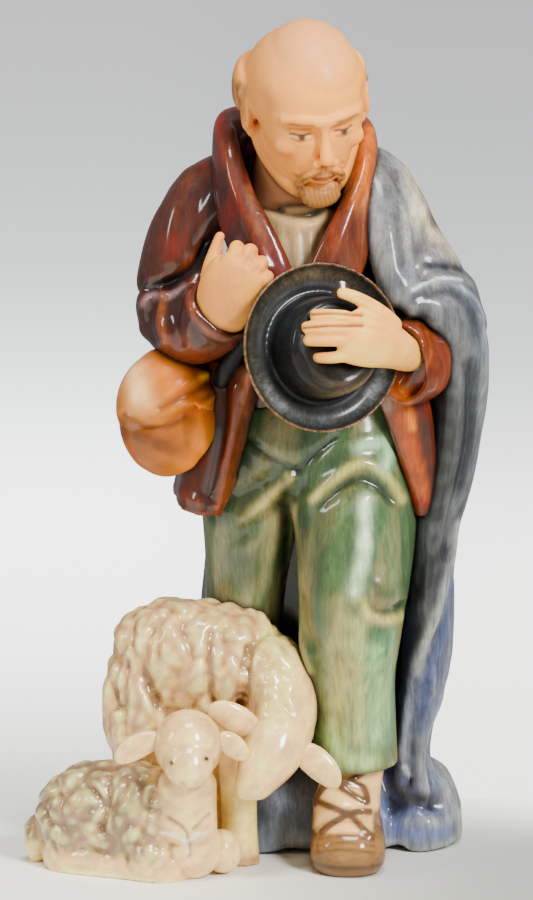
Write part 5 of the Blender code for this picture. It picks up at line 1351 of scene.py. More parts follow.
# The cloak: a heavy blue-grey cloak over the left shoulder and arm, falling in long folds to the ground.
# It also closes the casting behind the legs. Its shoulder is painted paler, a painted highlight, and its
# foot tinted violet-blue.
def cloak(bm):
    def folds(angle, z):
        # deeper towards the ground, and only round the back and the right side
        reach = max(0.0, math.sin(angle)) ** 0.5
        fall = min(1.0, max(0.0, (150 - z) / 130))
        return reach * fall * (0.045 * math.cos(9 * angle + 0.5) + 0.02 * math.cos(15 * angle + 1.7))

    # the mass that hangs down the back
    stack(bm, [
        (-2, -22, 33, -4.5, 35), (6, -21.5, 31, -4, 34.5), (16, -20.5, 28.5, -1, 33),
        (30, -19.8, 29, 2, 31.5), (45, -19.2, 31.5, 3, 30.5), (58, -18.0, 32.5, 3, 29.5),
        (70, -16.5, 33.5, 3, 28.5), (82, -13.5, 35.5, 3, 28), (94, -10.5, 38, 2, 27),
        (106, -7.5, 38.5, 1, 26.5), (120, -3, 35.5, 0, 25), (130, 0, 29.5, 0, 22.5),
        (138, 3, 23.5, 0, 18.5), (144, 6, 17.5, 3, 14),
    ], ripple=folds, around=120, rings=90)
    # over the shoulder and upper arm
    limb(bm, [
        (10, 4, 143.5, 5, 6), (16.4, 3, 140.2, 7.0, 10), (20.4, 3, 134, 7.2, 12),
        (24.6, 3.5, 125.5, 7.6, 13), (30.6, 1.5, 114, 8.4, 13.5), (31.6, 2.5, 104, 8.0, 13),
    ], across=(1, 0, 0.3), around=40, rings=40, blunt=0.4)
    # down the chest beside the collar, into the crook of the arm
    limb(bm, [
        (15, -1.5, 144, 3.5, 4), (17.8, -7.5, 138, 4.6, 4), (19.6, -11.5, 130.5, 5, 4),
        (21.4, -14.4, 122.5, 4.4, 4), (22.0, -16.5, 116.5, 2.6, 3),
    ], around=32, rings=30)
    # the fold laid over the forearm, and its fall to the ground
    limb(bm, [
        (22.5, -15, 116.5, 2.6, 3.0), (27.5, -14.5, 117.4, 3.2, 4.6), (32.4, -10.5, 114.6, 4.8, 7.5),
        (34.0, -5, 106.5, 6.2, 10.6), (34.0, -2.5, 95, 6.0, 11), (32.2, -1, 82, 5.9, 11),
        (29.2, 0, 68, 5.2, 11), (28.6, 1.5, 54, 5.2, 10.5), (28.0, 3.5, 40, 5.1, 10),
        (25.8, 5.5, 26, 4.2, 9.5), (25.0, 7, 17, 4.6, 10), (26.4, 9.5, 8, 9.0, 12.5),
        (27.0, 11, -2, 9.8, 13.5),
    ], around=48, rings=80, blunt=0.1)
    # the dark inner web between the feet
    stack(bm, [
        (-2, -17, 7, -4.6, 20), (8, -16.5, 7, -4.2, 20), (20, -15, 8, 0, 20), (34, -12, 8, 5, 20)
    ], power=3)


def carve_cloak(skin):
    skin.carve_all("front", (
        ([(24.0, 143.9), (26.4, 137.6), (26.8, 130.5)], 2.4, 0.8),
        ([(21.0, 141.8), (22.0, 132.4), (23.0, 120)], 1.8, -0.9),
        ([(27.6, 139), (29.6, 132.4), (26.5, 122)], 2.4, -0.8),
        ([(29.6, 133.6), (33.8, 127.2), (37.0, 122.6)], 2.6, 0.7),
        ([(28.5, 121), (33, 120.5), (38.5, 119.4)], 2.0, -0.9),
        ([(24.2, 115.6), (29.2, 118.0), (33.6, 118.2), (38.2, 116.1)], 1.8, 0.6),
        ([(33.8, 116.6), (37.4, 114.3), (39.2, 109.9)], 1.8, 0.5),
        ([(25.0, 114.0), (31.3, 115.9), (35.5, 113.4), (37.6, 107.4)], 1.8, -0.7),
        ([(39.4, 110), (39.8, 104.2), (39.8, 86.1), (37.4, 75.1), (35.0, 63.6)], 1.8, 0.7),
        ([(36.6, 100), (36.6, 86), (34.4, 74), (32.4, 62)], 2.0, -1.3),
        (
            [
                (33.8, 66), (31.7, 53.4), (28.8, 45.9), (25.9, 40.9), (24.6, 32.5), (23.8, 24.2),
                (23.1, 20.0),
            ],
            1.4,
            1.2,
        ),
        ([(34.2, 60), (32.8, 50.1), (30.0, 42.8), (27.6, 33), (26.4, 25.1)], 1.6, -1.1),
        ([(29.6, 38.7), (28.6, 31), (27.2, 25.0), (26.6, 18.8), (29.0, 10.4)], 1.2, 1.1),
        ([(25.6, 22), (25.2, 17), (23.6, 14)], 1.5, -1.6),
        ([(21.5, 9.4), (25.0, 9.0), (30.5, 9.6)], 2.8, -2.0),
        ([(25.2, 14.6), (25.8, 11.5)], 2.2, -1.6),
        ([(18.6, 13), (18.4, 7), (19.8, 1.2)], 1.2, 0.9),
        ([(30, 36), (31.6, 26), (31, 19), (33.2, 10)], 1.8, 0.6),
    ))
    for y, lean in ((-4, 2), (3, 1), (10, 0), (18, -1)):
        skin.carve([
            (y + lean, 104), (y + lean * 0.4, 78), (y, 50), (y - 1, 26), (y - 2, 4)
        ], 3.0, -1.0, "right")
        skin.carve([(y + 3.4 + lean, 112), (y + 3.4, 78), (y + 3.2, 48), (y + 2.4, 6)], 2.4, 0.6, "right")
    for low, high, bend in (
        (-19, 4, 3), (-11.5, 10, 3), (-3.5, 15, 3), (4.5, 20, 3), (13, 25, 2.5), (21.5, 30, 2),
        (28.5, 34, 1),
    ):
        skin.carve([
            (high, 128 - 26 * max(0, (20 - high) / 16)), (high - bend * 0.4, 84), (low + bend, 46), (low, 2)
        ], 2.6, -1.8, "back")
        skin.carve([
            (high + 3.4, 126 - 26 * max(0, (17 - high) / 16)),
            (high + 3 - bend * 0.4, 84),
            (low + bend + 3.6, 46),
            (low + 4, 2),
        ], 2.0, 1.0, "back")


SLATE = srgb(96, 102, 112)
CHARCOAL = srgb(40, 44, 52)
PALE_GREY = srgb(186, 186, 184)
PERIWINKLE = srgb(128, 136, 178)
WARM_GREY = srgb(188, 182, 166)


def paint_cloak(skin):
    high, low = ramp(skin.co[:, 2], 100, 146), ramp(62 - skin.co[:, 2], 0, 50)
    skin.start(SLATE)
    skin.wash(CHARCOAL, ramp(cloud(skin.co * (1, 1, 0.25), 10, 3), 0.45, 1), 0.6)
    skin.wash(srgb(150, 154, 162), low, 0.55)
    skin.wash(PERIWINKLE, low * ramp(cloud(skin.co * (1, 1, 0.3), 8, 6), 0.4, 0.9), 0.6)
    # paler towards the shoulder, a painted highlight; then painted shade in the folds and painted
    # highlights on them
    skin.wash(srgb(190, 190, 192), ramp(skin.co[:, 2], 116, 130), 0.65)
    skin.wash(WARM_GREY, high * ramp(cloud(skin.co * (1, 1, 0.5), 9, 8), 0.35, 0.85), 0.6)
    shade_folds(skin, srgb(26, 28, 34), PALE_GREY, deep=0.4, proud=0.4, darken=0.8, lighten=0.6, rounds=14)
    # painted shade, near black, on the cloak behind the legs
    inner = (
        ramp(-0.5 - skin.co[:, 1] * 0.12 + (22 - skin.co[:, 0]) * 0.35, 0, 3)
        * ramp(6.5 - skin.co[:, 1], 0, 3) * ramp(100 - skin.co[:, 2], 0, 6)
    )
    skin.wash(srgb(18, 18, 24), inner * ramp(skin.co[:, 2], 11, 18), 0.93)
    web = ramp(6 - skin.co[:, 0], 0, 3) * ramp(15 - skin.co[:, 2], 0, 4)
    skin.wash(srgb(140, 148, 160), web * (0.35 + 0.65 * cloud(skin.co * (1, 1, 0.3), 3, 4)), 0.9)
    # among these strokes are painted highlights and white glints along the folds and painted shade in the
    # furrows and in the hollow at the hem
    skin.stroke_all((
        ([(19.4, 143), (19.6, 134), (21, 124), (22, 117)], 2.2, srgb(84, 92, 106), 0.6),
        ([(23.6, 143.5), (25.4, 137.6), (25.4, 131)], 2.6, srgb(204, 200, 184), 0.8),
        ([(21.4, 140), (21.6, 130), (22.6, 121)], 1.3, srgb(58, 62, 70), 0.6),
        ([(27.0, 136), (28.0, 131), (26, 124)], 1.6, srgb(84, 86, 92), 0.6),
        ([(28.0, 132), (30.4, 127.2), (35.6, 123.6)], 3.4, srgb(214, 208, 192), 0.8),
        ([(27, 124), (31, 124.6)], 2.6, srgb(112, 104, 96), 0.5),
        ([(27.4, 121), (33, 120.5), (38.5, 120.0)], 1.5, srgb(44, 50, 62), 0.85),
        ([(24.6, 115.6), (29.2, 118.0), (34.6, 118.0)], 0.5, srgb(226, 230, 236), 0.7),
        ([(25.0, 113.6), (31.3, 115.5), (35.5, 113.0), (38.4, 106.4)], 1.3, srgb(74, 80, 88), 0.7),
        ([(34.4, 116.6), (37.6, 114.0), (39.8, 110)], 0.6, srgb(204, 210, 216), 0.6),
        ([(34, 112), (37.4, 104), (38.2, 96)], 1.8, srgb(132, 138, 142), 0.6),
        ([(39.6, 108), (40.0, 97), (39.8, 86.1), (38.4, 76.1), (36.4, 66.6)],
         1.8, srgb(182, 186, 188), 0.75),
        ([(36.4, 100), (35.8, 88), (33.8, 77)], 2.6, srgb(46, 50, 56), 0.75),
        ([(31.6, 96), (31.8, 84), (29.6, 68), (27, 54)], 3.4, srgb(20, 21, 24), 0.9),
        ([(34.2, 73), (32.4, 66)], 2.6, srgb(150, 152, 152), 0.6),
        ([(34.8, 68), (33.0, 58.4), (30.8, 51.9), (27.9, 44.9), (25.6, 38)],
         1.6, srgb(200, 200, 196), 0.85),
        ([(24.6, 40), (24.2, 31), (23.6, 24), (22.8, 18)], 1.0, srgb(176, 180, 194), 0.7),
        ([(31.4, 63), (29.8, 53), (26.0, 44), (24.0, 34)], 2.6, srgb(44, 48, 54), 0.6),
        ([(33.8, 58), (32.6, 49), (30.6, 42), (28.6, 34), (27.4, 26)], 1.8, srgb(112, 120, 166), 0.7),
        ([(34.4, 52), (33.6, 42), (31.6, 32), (29.6, 24)], 2.0, srgb(176, 180, 190), 0.5),
        ([(26.2, 36), (25.4, 26), (25.6, 20)], 1.0, srgb(60, 66, 96), 0.7),
        ([(19.6, 16), (23.4, 12), (27.0, 10.6), (30.6, 10.4)], 2.4, srgb(84, 76, 70), 0.85),
        ([(17.4, 15.4), (18.0, 10), (19.6, 7.2)], 0.6, srgb(238, 240, 244), 0.8),
        ([(23.6, 17.6), (25.0, 15.8)], 0.7, srgb(238, 240, 244), 0.7),
        ([(25.2, 14.6), (24.4, 11.5), (27, 11)], 1.4, srgb(52, 48, 46), 0.7),
        ([(18.4, 10), (21, 5), (26, 3.4), (32, 4.2)], 2.0, srgb(150, 160, 196), 0.65),
        ([(30.6, 18), (33.4, 12), (33.6, 7)], 3.0, srgb(178, 180, 178), 0.7),
        ([(21.4, 18), (19.4, 14)], 1.2, srgb(98, 112, 166), 0.6),
    ))


slate_glaze = glazed("slate_glaze", streak=0.42, coat=0.45, sheen=0.16)
cast("cloak", cloak, slate_glaze, 0.66, carve_cloak, paint_cloak, grounded=True, rounds=4, calm=9)


# The shoes: tan leather, open over the cream instep and tied there with crossed laces, which are low ridges
# of clay painted brown. The right shoe is half hidden behind the ewe.
def shoe(bm, x=12.4, toe_x=11.3, heel_y=-1, toe_y=-24.4):
    run = toe_y - heel_y
    limb(bm, [
        (x, heel_y, 5.0, 6, 6.4),
        (x, heel_y + 0.25 * run, 5.4, 7, 7.2),
        (x - 0.6, heel_y + 0.5 * run, 5.2, 7.6, 7.4),
        (toe_x + 0.5, heel_y + 0.74 * run, 4.4, 7.7, 6.2),
        (toe_x, toe_y, 3.6, 6.4, 5.4),
    ], across=(1, 0, 0), around=40, rings=40, power=2.5, blunt=0.75)


def right_shoe(bm):
    """Mostly hidden behind the ewe."""
    shoe(bm, x=-14.6, toe_x=-14.6, heel_y=12, toe_y=-6)


def ankle(bm):
    limb(bm, [
        (13.4, -7, 24, 6.8, 7.2), (12.4, -8, 16, 6.4, 7.2), (11.6, -12, 11, 7.0, 7.6),
        (11.4, -16.4, 7, 7.2, 7.0),
    ], around=40, rings=30, blunt=0.3)


LACES = (
    [(16.2, 18.4), (13.5, 16.3), (10.8, 15.1), (7.9, 15.0), (5.7, 12.8), (4.8, 10.7)],
    [(10.4, 15.5), (14.4, 14.5), (15.5, 12.9), (15.7, 11.4)],
    [(10.4, 14.3), (15.2, 11.4)],
    [(5.2, 11.4), (7.5, 10.7), (10.1, 9.7), (11.8, 9.1), (14.0, 9.5), (16.2, 9.4)],
    [(11.8, 9.1), (10.1, 8.0), (8.1, 6.8), (6.4, 5.3)],
    [(11.8, 9.1), (13.5, 7.5), (14.9, 6.0), (16.6, 4.6)],
)


def carve_laces(skin):
    for lace in LACES:
        skin.carve(lace, 1.1, 0.5, "front")


def carve_shoe(skin):
    carve_laces(skin)
    skin.carve([(4.6, 6.6), (6.6, 9.6), (12.4, 10.6), (17.6, 9.0), (19.4, 6)], 0.8, -0.6, "front")
    skin.carve([(4.4, -3.4), (8, -4.4), (12, -4.6), (16, -4.2), (19.6, -3)], 0.8, -0.7, "front")


LEATHER = srgb(150, 110, 70)
INSTEP_CREAM = srgb(232, 214, 190)


def lace_up(skin):
    """Paints the cream instep between the shoe's edges and the crossed laces over it."""
    x, v = skin.co[:, 0], skin.co @ np.array((0, math.sin(LOOK_DOWN), math.cos(LOOK_DOWN)))
    open_front = ramp(x, 4.6, 5.4) * ramp(17.2 - x, 0, 0.8) * ramp(v, 4.9, 5.7) * ramp(-skin.co[:, 1], 6, 9)
    skin.wash(INSTEP_CREAM, open_front, 0.95)
    for lace in LACES:
        skin.wash(srgb(84, 54, 34), skin.near(lace, 1.25, "front"), 0.55)
        skin.wash(srgb(140, 98, 62), ramp(skin.near(lace, 0.95, "front"), 0.2, 0.5), 0.95)


def paint_shoe(skin):
    skin.start(LEATHER)
    skin.wash(srgb(214, 182, 138), ramp(-skin.co[:, 1], 16, 28) * ramp(skin.co[:, 2], 1, 6), 0.6)
    # painted shade in the hollows and painted highlights on the ridges
    shade_folds(skin, srgb(84, 56, 34), srgb(206, 172, 126), deep=0.3, proud=0.4, lighten=0.3)
    skin.wash(srgb(92, 62, 38), np.exp(-((skin.co[:, 2] - 2.4) / 0.5) ** 2), 0.7)
    skin.wash(srgb(176, 138, 96), ramp(1.8 - skin.co[:, 2], 0, 0.8), 0.6)
    skin.grain = skin.co * np.array((0.25, 1.0, 1.0))


def paint_left_shoe(skin):
    paint_shoe(skin)
    for high in (3.9, 2.6, 1.2):
        skin.stroke([(5.4, high), (11, high + 0.8), (17, high)], 0.5, srgb(136, 94, 58), 0.6)
    lace_up(skin)


def paint_stocking(skin):
    skin.start(INSTEP_CREAM)
    # painted shade in the hollows
    skin.wash(srgb(190, 168, 142), ramp(skin.hollow(10), 0.05, 0.3), 0.6)
    skin.wash(LEATHER, ramp(13 - skin.co[:, 2], 0, 1), 0.9)
    lace_up(skin)


shoe_glaze = glazed("tan_glaze", streak=0.26)
cream_glaze = glazed("cream_glaze", streak=0.05)
cast("left_shoe", shoe, shoe_glaze, 0.36, carve_shoe, paint_left_shoe, grounded=True)
cast("right_shoe", right_shoe, shoe_glaze, 0.6, None, paint_shoe, grounded=True)
cast("stocking", ankle, cream_glaze, 0.4, carve_laces, paint_stocking)


# The ewe and the lamb: the ewe stands with her head turned down to the lamb, which lies with folded
# forelegs. Woolly locks beside smooth faces and legs, in an ivory glaze, with painted shade in tan in the
# hollows and painted pearly highlights on the locks.
def sheep(bm):
    """The standing ewe, her head turned down to the lamb."""
    limb(bm, [
        (-33.6, -4, 38.6, 8.0, 8.2), (-30, -4, 40.8, 11.8, 10), (-23.6, -4, 41.2, 13.0, 10.6),
        (-15, -4.6, 40.8, 12.4, 10.2), (-8, -5.6, 40, 11.6, 9.4), (-3.5, -8, 38.5, 9.6, 8.4),
    ], across=(0, 0, 1), around=44, rings=44, blunt=0.7)
    limb(bm, [
        (-8, -6, 41.5, 9.2, 8.4), (-3.4, -10, 38, 8.4, 8), (-1.6, -14.4, 32.5, 7.2, 7),
        (-2.2, -18, 28, 6.2, 6),
    ], across=(1, 0, 1), around=36, rings=30, blunt=0.5)
    limb(bm, [
        (-1.2, -13.0, 33.5, 6.8, 6.6), (-1.6, -16.8, 29.8, 6.5, 6.4), (-3.8, -20.6, 25.8, 6.3, 5.9),
        (-6.6, -23.6, 21.6, 4.8, 4.4), (-8.6, -25.1, 18.2, 3.3, 3.0), (-9.0, -25.4, 16.9, 2.6, 2.2),
    ], across=(1, 0, -0.4), around=32, rings=32, blunt=0.8)
    ball(bm, (-30, -5.5, 33), (6.4, 8.2, 12), turned=(0, -8, 0))
    limb(bm, [
        (-34.4, -5, 43, 2.2, 3), (-36.2, -6, 36, 2.4, 3.2), (-36.2, -7, 28, 2.3, 3),
        (-35.4, -7.6, 22.5, 1.4, 1.8),
    ], across=(1, 0, 0), around=20, rings=26, blunt=0.9)
    limb(bm, [
        (-11.0, -8.6, 32, 5.4, 5), (-10.7, -9.6, 20, 4.1, 4), (-10.5, -10.0, 8, 3.7, 3.6),
        (-10.2, -10.2, -2, 4.2, 4.0),
    ], around=28, rings=26, blunt=0.1)
    limb(bm, [
        (-15.5, 0.4, 32, 5.2, 4.4), (-15.8, 0.8, 20, 3.8, 3.6), (-16, 0.8, 8, 3.4, 3.4),
        (-16.2, 0.6, -2, 4, 4),
    ], around=28, rings=26, blunt=0.1)
    limb(bm, [
        (-31.5, -8, 32, 6, 4.8), (-32.5, -9, 20, 4, 3.8), (-31.6, -9, 9, 3.5, 3.4), (-31.4, -9.2, -2, 4, 4)
    ], around=28, rings=26, blunt=0.1)
    limb(bm, [
        (-31.5, 1, 32, 6, 4.8), (-32.5, 1.6, 20, 4, 3.8), (-31.6, 1.6, 9, 3.5, 3.4), (-31.4, 1.4, -2, 4, 4)
    ], around=28, rings=26, blunt=0.1)


def sheep_web(bm):
    """What a mould leaves between the ewe's legs."""
    stack(bm, [
        (-2, -33, -13, -7.4, 0.6), (10, -33, -13, -7.4, 0.6), (22, -32, -13, -7.6, 0.4),
        (34, -30, -13, -8, 0),
    ], around=40, rings=24, power=3)


def sheep_ears(bm):
    limb(bm, [
        (-6.5, -19.5, 29.8, 2, 1.4), (-10.5, -20.5, 32.4, 3, 1.3), (-14, -21, 34.2, 2.7, 1.1),
        (-17.0, -21, 34.8, 1.2, 0.9),
    ], across=(0.3, 0, 1), around=24, rings=24, blunt=0.9)
    limb(bm, [
        (1.2, -19.5, 26.4, 2.2, 1.5), (4.6, -20.6, 24.2, 3.1, 1.4), (7.6, -21.2, 21.4, 2.8, 1.2),
        (9.6, -21.2, 18.4, 1.3, 0.9),
    ], across=(0.8, 0, 0.6), around=24, rings=24, blunt=0.9)


def lamb(bm):
    limb(bm, [
        (-51.0, -9.0, 6.6, 6.8, 5.6), (-46.0, -10.5, 9.0, 9.2, 7.4), (-40, -13, 10.8, 11.0, 8.8),
        (-32, -16.5, 11.2, 11.4, 9.0), (-25, -20.5, 10.8, 10.8, 8.4), (-20.6, -22.0, 9.6, 8.8, 7.0),
    ], across=(0, 0, 1), around=44, rings=40, blunt=0.8)
    # its weight on the ground
    limb(bm, [
        (-50.6, -9.5, 1.5, 4.5, 5.2), (-46.4, -11.0, 2, 5, 7.4), (-40, -13.6, 2, 5, 8.2),
        (-32, -17, 2, 5, 8.0), (-25, -21.0, 2, 5, 7.2), (-20.6, -22.4, 2, 5, 6.0),
    ], across=(0, 0, 1), around=32, rings=40, blunt=0.8, power=2.6)
    limb(bm, [
        (-21.8, -22.4, 8, 7, 6.2), (-21.2, -24.0, 16, 6.2, 5.8), (-20.8, -25.4, 23.5, 5.8, 6)
    ], around=32, rings=24, blunt=0.5)
    # head
    ball(bm, (-20.8, -25.4, 28.4), (7.0, 7.0, 7.4))
    limb(bm, [
        (-20.8, -27.6, 27.8, 5.8, 5.6), (-20.6, -30.8, 24.8, 5.0, 4.4), (-20.4, -33.0, 22.6, 4.0, 3.3),
        (-20.4, -33.6, 21.6, 3.0, 2.4),
    ], around=28, rings=24, blunt=0.8)
    # haunch, hind foot, folded forelegs, tail
    ball(bm, (-43.4, -14.8, 8.2), (8.2, 5.4, 7.6), turned=(0, 0, -20))
    limb(bm, [
        (-49.0, -12.4, 2.4, 3.2, 2.8), (-43, -16.8, 2.2, 3.2, 2.6), (-36.4, -20.4, 1.9, 3.0, 2.4)
    ], across=(0, 0, 1), around=20, rings=24, blunt=0.9)
    limb(bm, [
        (-32, -21.4, 4.8, 5.4, 4.6), (-28.6, -24.0, 4.2, 5.0, 4.2), (-24.8, -26.2, 3.4, 4.4, 3.6)
    ], across=(0, 0, 1), around=24, rings=26, blunt=0.9)
    limb(bm, [
        (-13.4, -16, 5.4, 4.8, 4.4), (-14.2, -19.6, 4.8, 4.8, 4.4), (-16.6, -22.6, 3.8, 4.3, 3.8)
    ], across=(0, 0, 1), around=24, rings=26, blunt=0.9)
    ball(bm, (-20.2, -22.6, 6.4), (6.4, 4.4, 6.6))
    ball(bm, (-52.4, -9.0, 5.0), (2.6, 2.8, 5.4))


def lamb_ears(bm):
    limb(bm, [
        (-26.0, -25.4, 29.8, 1.8, 1.4), (-30.0, -26.0, 28.8, 2.6, 1.2), (-33.2, -26.4, 27.0, 2.4, 1.1),
        (-35.4, -26.4, 25.0, 1.1, 0.8),
    ], across=(0, 0, 1), around=24, rings=22, blunt=0.9)
    limb(bm, [
        (-15.2, -25.4, 30.0, 1.8, 1.4), (-12.6, -25.0, 28.8, 2.4, 1.2), (-10.6, -24.6, 27.0, 2.2, 1.0),
        (-9.2, -24.4, 25.0, 1.1, 0.8),
    ], across=(0, 0, 1), around=24, rings=22, blunt=0.9)


def away(skin, centre, near, far):
    """0 within near of a place, 1 beyond far."""
    gap = np.linalg.norm(skin.co - np.array(centre), axis=1)
    return np.clip((gap - near) / (far - near), 0, 1)


def carve_sheep(skin):
    low = np.clip((skin.co[:, 2] - 23) / 6, 0, 1)
    own = (
        np.clip((2 - skin.co[:, 0]) / 3, 0, 1) * np.clip((8 - skin.co[:, 1]) / 3, 0, 1)
        * np.clip((58 - skin.co[:, 2]) / 3, 0, 1)
    )
    grows = low * own * away(skin, (-4, -23, 23), 9, 13) * away(skin, (-22, -27, 26), 8, 10)
    skin.woolly = grows
    skin.fleece(7.2, 1.1, grows, stretch=(1.3, 1, 0.7))
    skin.fleece(3.3, 0.5, grows, stretch=(1.2, 1, 0.8), seed=8)
    skin.ease(4, 0.5, grows)
    skin.carve_all("front", (
        ([(-28.4, 47), (-29.9, 41), (-29.4, 36), (-27.2, 31)], 1.7, -1.2),
        ([(-16.2, 46), (-16.7, 39), (-16.0, 32)], 1.6, -1.1),
        ([(-8.6, 43), (-9.2, 37), (-10.0, 31)], 1.5, -1.3),
        ([(-33.8, 40), (-34.4, 33), (-34.0, 25)], 1.3, -0.9),
    ))


def carve_lamb(skin):
    own = (
        np.clip((-24 - skin.co[:, 0]) / 4, 0, 1) * np.clip((25 - skin.co[:, 2]) / 3, 0, 1)
        * np.clip((-4 - skin.co[:, 1]) / 1.5, 0, 1)
    )
    grows = own * away(skin, (-21, -26, 24), 8, 10) * np.clip((skin.co[:, 2] - 3) / 3, 0, 1)
    skin.woolly = grows
    skin.fleece(5.6, 1.0, grows, seed=5)
    skin.fleece(2.7, 0.45, grows, seed=9)
    skin.ease(4, 0.5, grows)
    skin.carve_all("front", (
        ([(-37, 17), (-37.4, 11), (-38.6, 6)], 1.3, -1.0),
        ([(-25.0, 8.8), (-21.2, 6.0), (-20.6, 1.2)], 0.8, -0.7),
        ([(-16.4, 9.4), (-19.8, 6.4)], 0.8, -0.5),
        ([(-28.2, 14), (-29.4, 8), (-31.4, 3.6)], 1.1, -0.6),
        ([(-47, 13), (-41, 14.4), (-38, 10), (-40, 5.4)], 1.2, -0.7),
    ))


IVORY = srgb(228, 212, 186)
TAN_SHADE = srgb(166, 128, 92)
PINK_WASH = srgb(208, 176, 152)
PEARL_HIGHLIGHT = srgb(240, 232, 216)


def paint_wool(skin, wool=None):
    """Ivory, with the wool's own colour laid over where the locks grow."""
    skin.start(IVORY)
    if wool is not None:
        skin.wash(wool, skin.woolly, 0.9)
    skin.wash(PINK_WASH, ramp(cloud(skin.co, 5, 2), 0.5, 1), 0.4)
    skin.wash(srgb(228, 222, 192), ramp(cloud(skin.co, 4, 9), 0.6, 1), 0.45)
    # painted shade in tan in the hollows, pearly painted highlights on the locks, and broad painted shade
    # in the large hollows
    hollow = skin.hollow(8)
    skin.wash(TAN_SHADE, ramp(hollow, 0.01, 0.16), 0.8)
    skin.wash(PEARL_HIGHLIGHT, ramp(-hollow, 0.03, 0.2), 0.7)
    skin.wash(srgb(204, 184, 154), ramp(cloud(skin.co, 2.6, 6), 0.5, 1), 0.35)
    skin.wash(srgb(170, 134, 98), ramp(skin.hollow(60), 0.3, 1.5), 0.5)
    skin.grain = skin.co * np.array((0.6, 0.6, 0.6))


def paint_sheep(skin):
    paint_wool(skin, srgb(214, 190, 156))
    # painted shade in tan beside the ear's base
    skin.stroke([(-10.5, 28.5), (-8.6, 25.5)], 1.5, srgb(186, 150, 118), 0.6)
    skin.stroke([(-11.4, 22), (-11.6, 17)], 1.6, srgb(204, 172, 138), 0.5)
    skin.stroke([(-4.6, 27), (-6.0, 20)], 1.8, srgb(240, 230, 212), 0.5)
    skin.wash(srgb(196, 150, 104), ramp(2.6 - skin.co[:, 2], 0, 1.2), 0.8)
    skin.wash(srgb(242, 228, 204), ramp(20 - skin.co[:, 2], 0, 6) * ramp(skin.co[:, 2], 2.6, 4), 0.6)
    skin.stroke([(-4, 45), (-1, 39), (-2, 31)], 4.0, srgb(240, 228, 206), 0.6)


def paint_web(skin):
    paint_wool(skin)
    skin.wash(srgb(196, 150, 104), ramp(2.6 - skin.co[:, 2], 0, 1.2), 0.8)


def dots(skin, spots):
    """Small painted eyes, seen from the front."""
    for x, v, size, colour in spots:
        near = skin.near([(x, v)], size, "front")
        skin.wash(colour, ramp(near, 0.35, 0.6), 0.95)


def paint_lamb(skin):
    paint_wool(skin, srgb(162, 140, 112))
    black = srgb(30, 24, 22)
    skin.stroke([(-24.0, 20.6)], 1.5, srgb(190, 156, 124), 0.45)
    skin.stroke([(-17.0, 21.3)], 1.5, srgb(190, 156, 124), 0.45)
    dots(skin, ((-24.0, 20.4, 0.75, black), (-17.0, 21.2, 0.75, black)))
    skin.stroke([(-21.6, 16.3)], 0.9, srgb(122, 112, 112), 0.7)
    skin.stroke([(-19.2, 16.7)], 0.7, srgb(150, 128, 120), 0.5)
    # painted shade on the sides of the muzzle, near the ear and in the furrow by the haunch, a painted
    # highlight down the nose, and white painted highlights along the folded forelegs
    skin.stroke([(-13.8, 23), (-14.6, 17.6), (-17.4, 14)], 1.8, srgb(192, 158, 124), 0.55)
    skin.stroke([(-27.4, 24), (-25.6, 17.6), (-23.4, 14)], 1.6, srgb(200, 170, 138), 0.5)
    skin.stroke([(-19.6, 26), (-19.8, 18)], 1.6, srgb(240, 230, 212), 0.5)
    skin.stroke([(-17, 28), (-14.4, 25.4)], 1.6, srgb(196, 156, 112), 0.5)
    skin.stroke([(-38.4, 8), (-37.2, 4.4), (-37, 1.6)], 1.8, srgb(156, 112, 84), 0.7)
    skin.stroke([(-26.0, 5.8), (-23.6, 5.2), (-21.2, 3.6), (-20.9, 1.6)], 0.5, srgb(246, 244, 236), 0.7)
    skin.stroke([(-21.2, 3.6), (-19.4, 5.2), (-17.2, 5.8)], 0.5, srgb(246, 244, 236), 0.7)


wool_glaze = glazed("ivory_lustre_glaze", streak=0.14, fine=0.8, roughness=0.38, coat=1.0, sheen=0.14)
cast("ewe", sheep, wool_glaze, 0.46, carve_sheep, paint_sheep, grounded=True)
cast("ewe_web", sheep_web, wool_glaze, 0.8, None, paint_web, grounded=True)
cast("ewe_ears", sheep_ears, wool_glaze, 0.35, None, paint_wool)
cast("lamb", lamb, wool_glaze, 0.44, carve_lamb, paint_lamb, grounded=True)
cast("lamb_ears", lamb_ears, wool_glaze, 0.35, None, paint_wool)


# The whole casting: where two forms meet, painted shade darkens the crease between them, within
# SHADE_REACH millimetres. Then every piece is scaled to its real size, set over the casting's middle and
# given its place.
SHADE_REACH = 1.6
SHADE_WIDTH = 0.75
FAR = 9.0
MEETING = {
    "trousers": ("coat_skirt", "coat_body", "hat", "cloak", "ewe"),
    "coat_body": ("collar", "right_sleeve", "left_sleeve", "hat", "shirt", "cloak", "right_hand"),
    "coat_skirt": ("bag", "bag_flap", "left_sleeve", "right_sleeve", "hat", "cloak"),
    "right_sleeve": ("coat_body", "right_hand", "bag_flap", "collar", "hat"),
    "left_sleeve": ("cloak", "left_hand", "hat", "coat_skirt"),
    "collar": ("cloak", "right_hand", "hat", "shirt"),
    "shirt": ("collar", "neck", "hat"),
    "neck": ("collar", "shirt", "head"),
    "head": ("collar",),
    "left_hand": ("hat", "left_sleeve"),
    "right_hand": ("right_sleeve",),
    "bag_flap": ("right_sleeve",),
    "cloak": ("trousers", "coat_skirt", "left_sleeve", "collar", "ewe", "left_shoe", "stocking"),
    "left_shoe": ("cloak",),
    "stocking": ("trousers",),
    "ewe": ("lamb", "trousers", "cloak"),
    "lamb": ("lamb_ears", "ewe"),
}
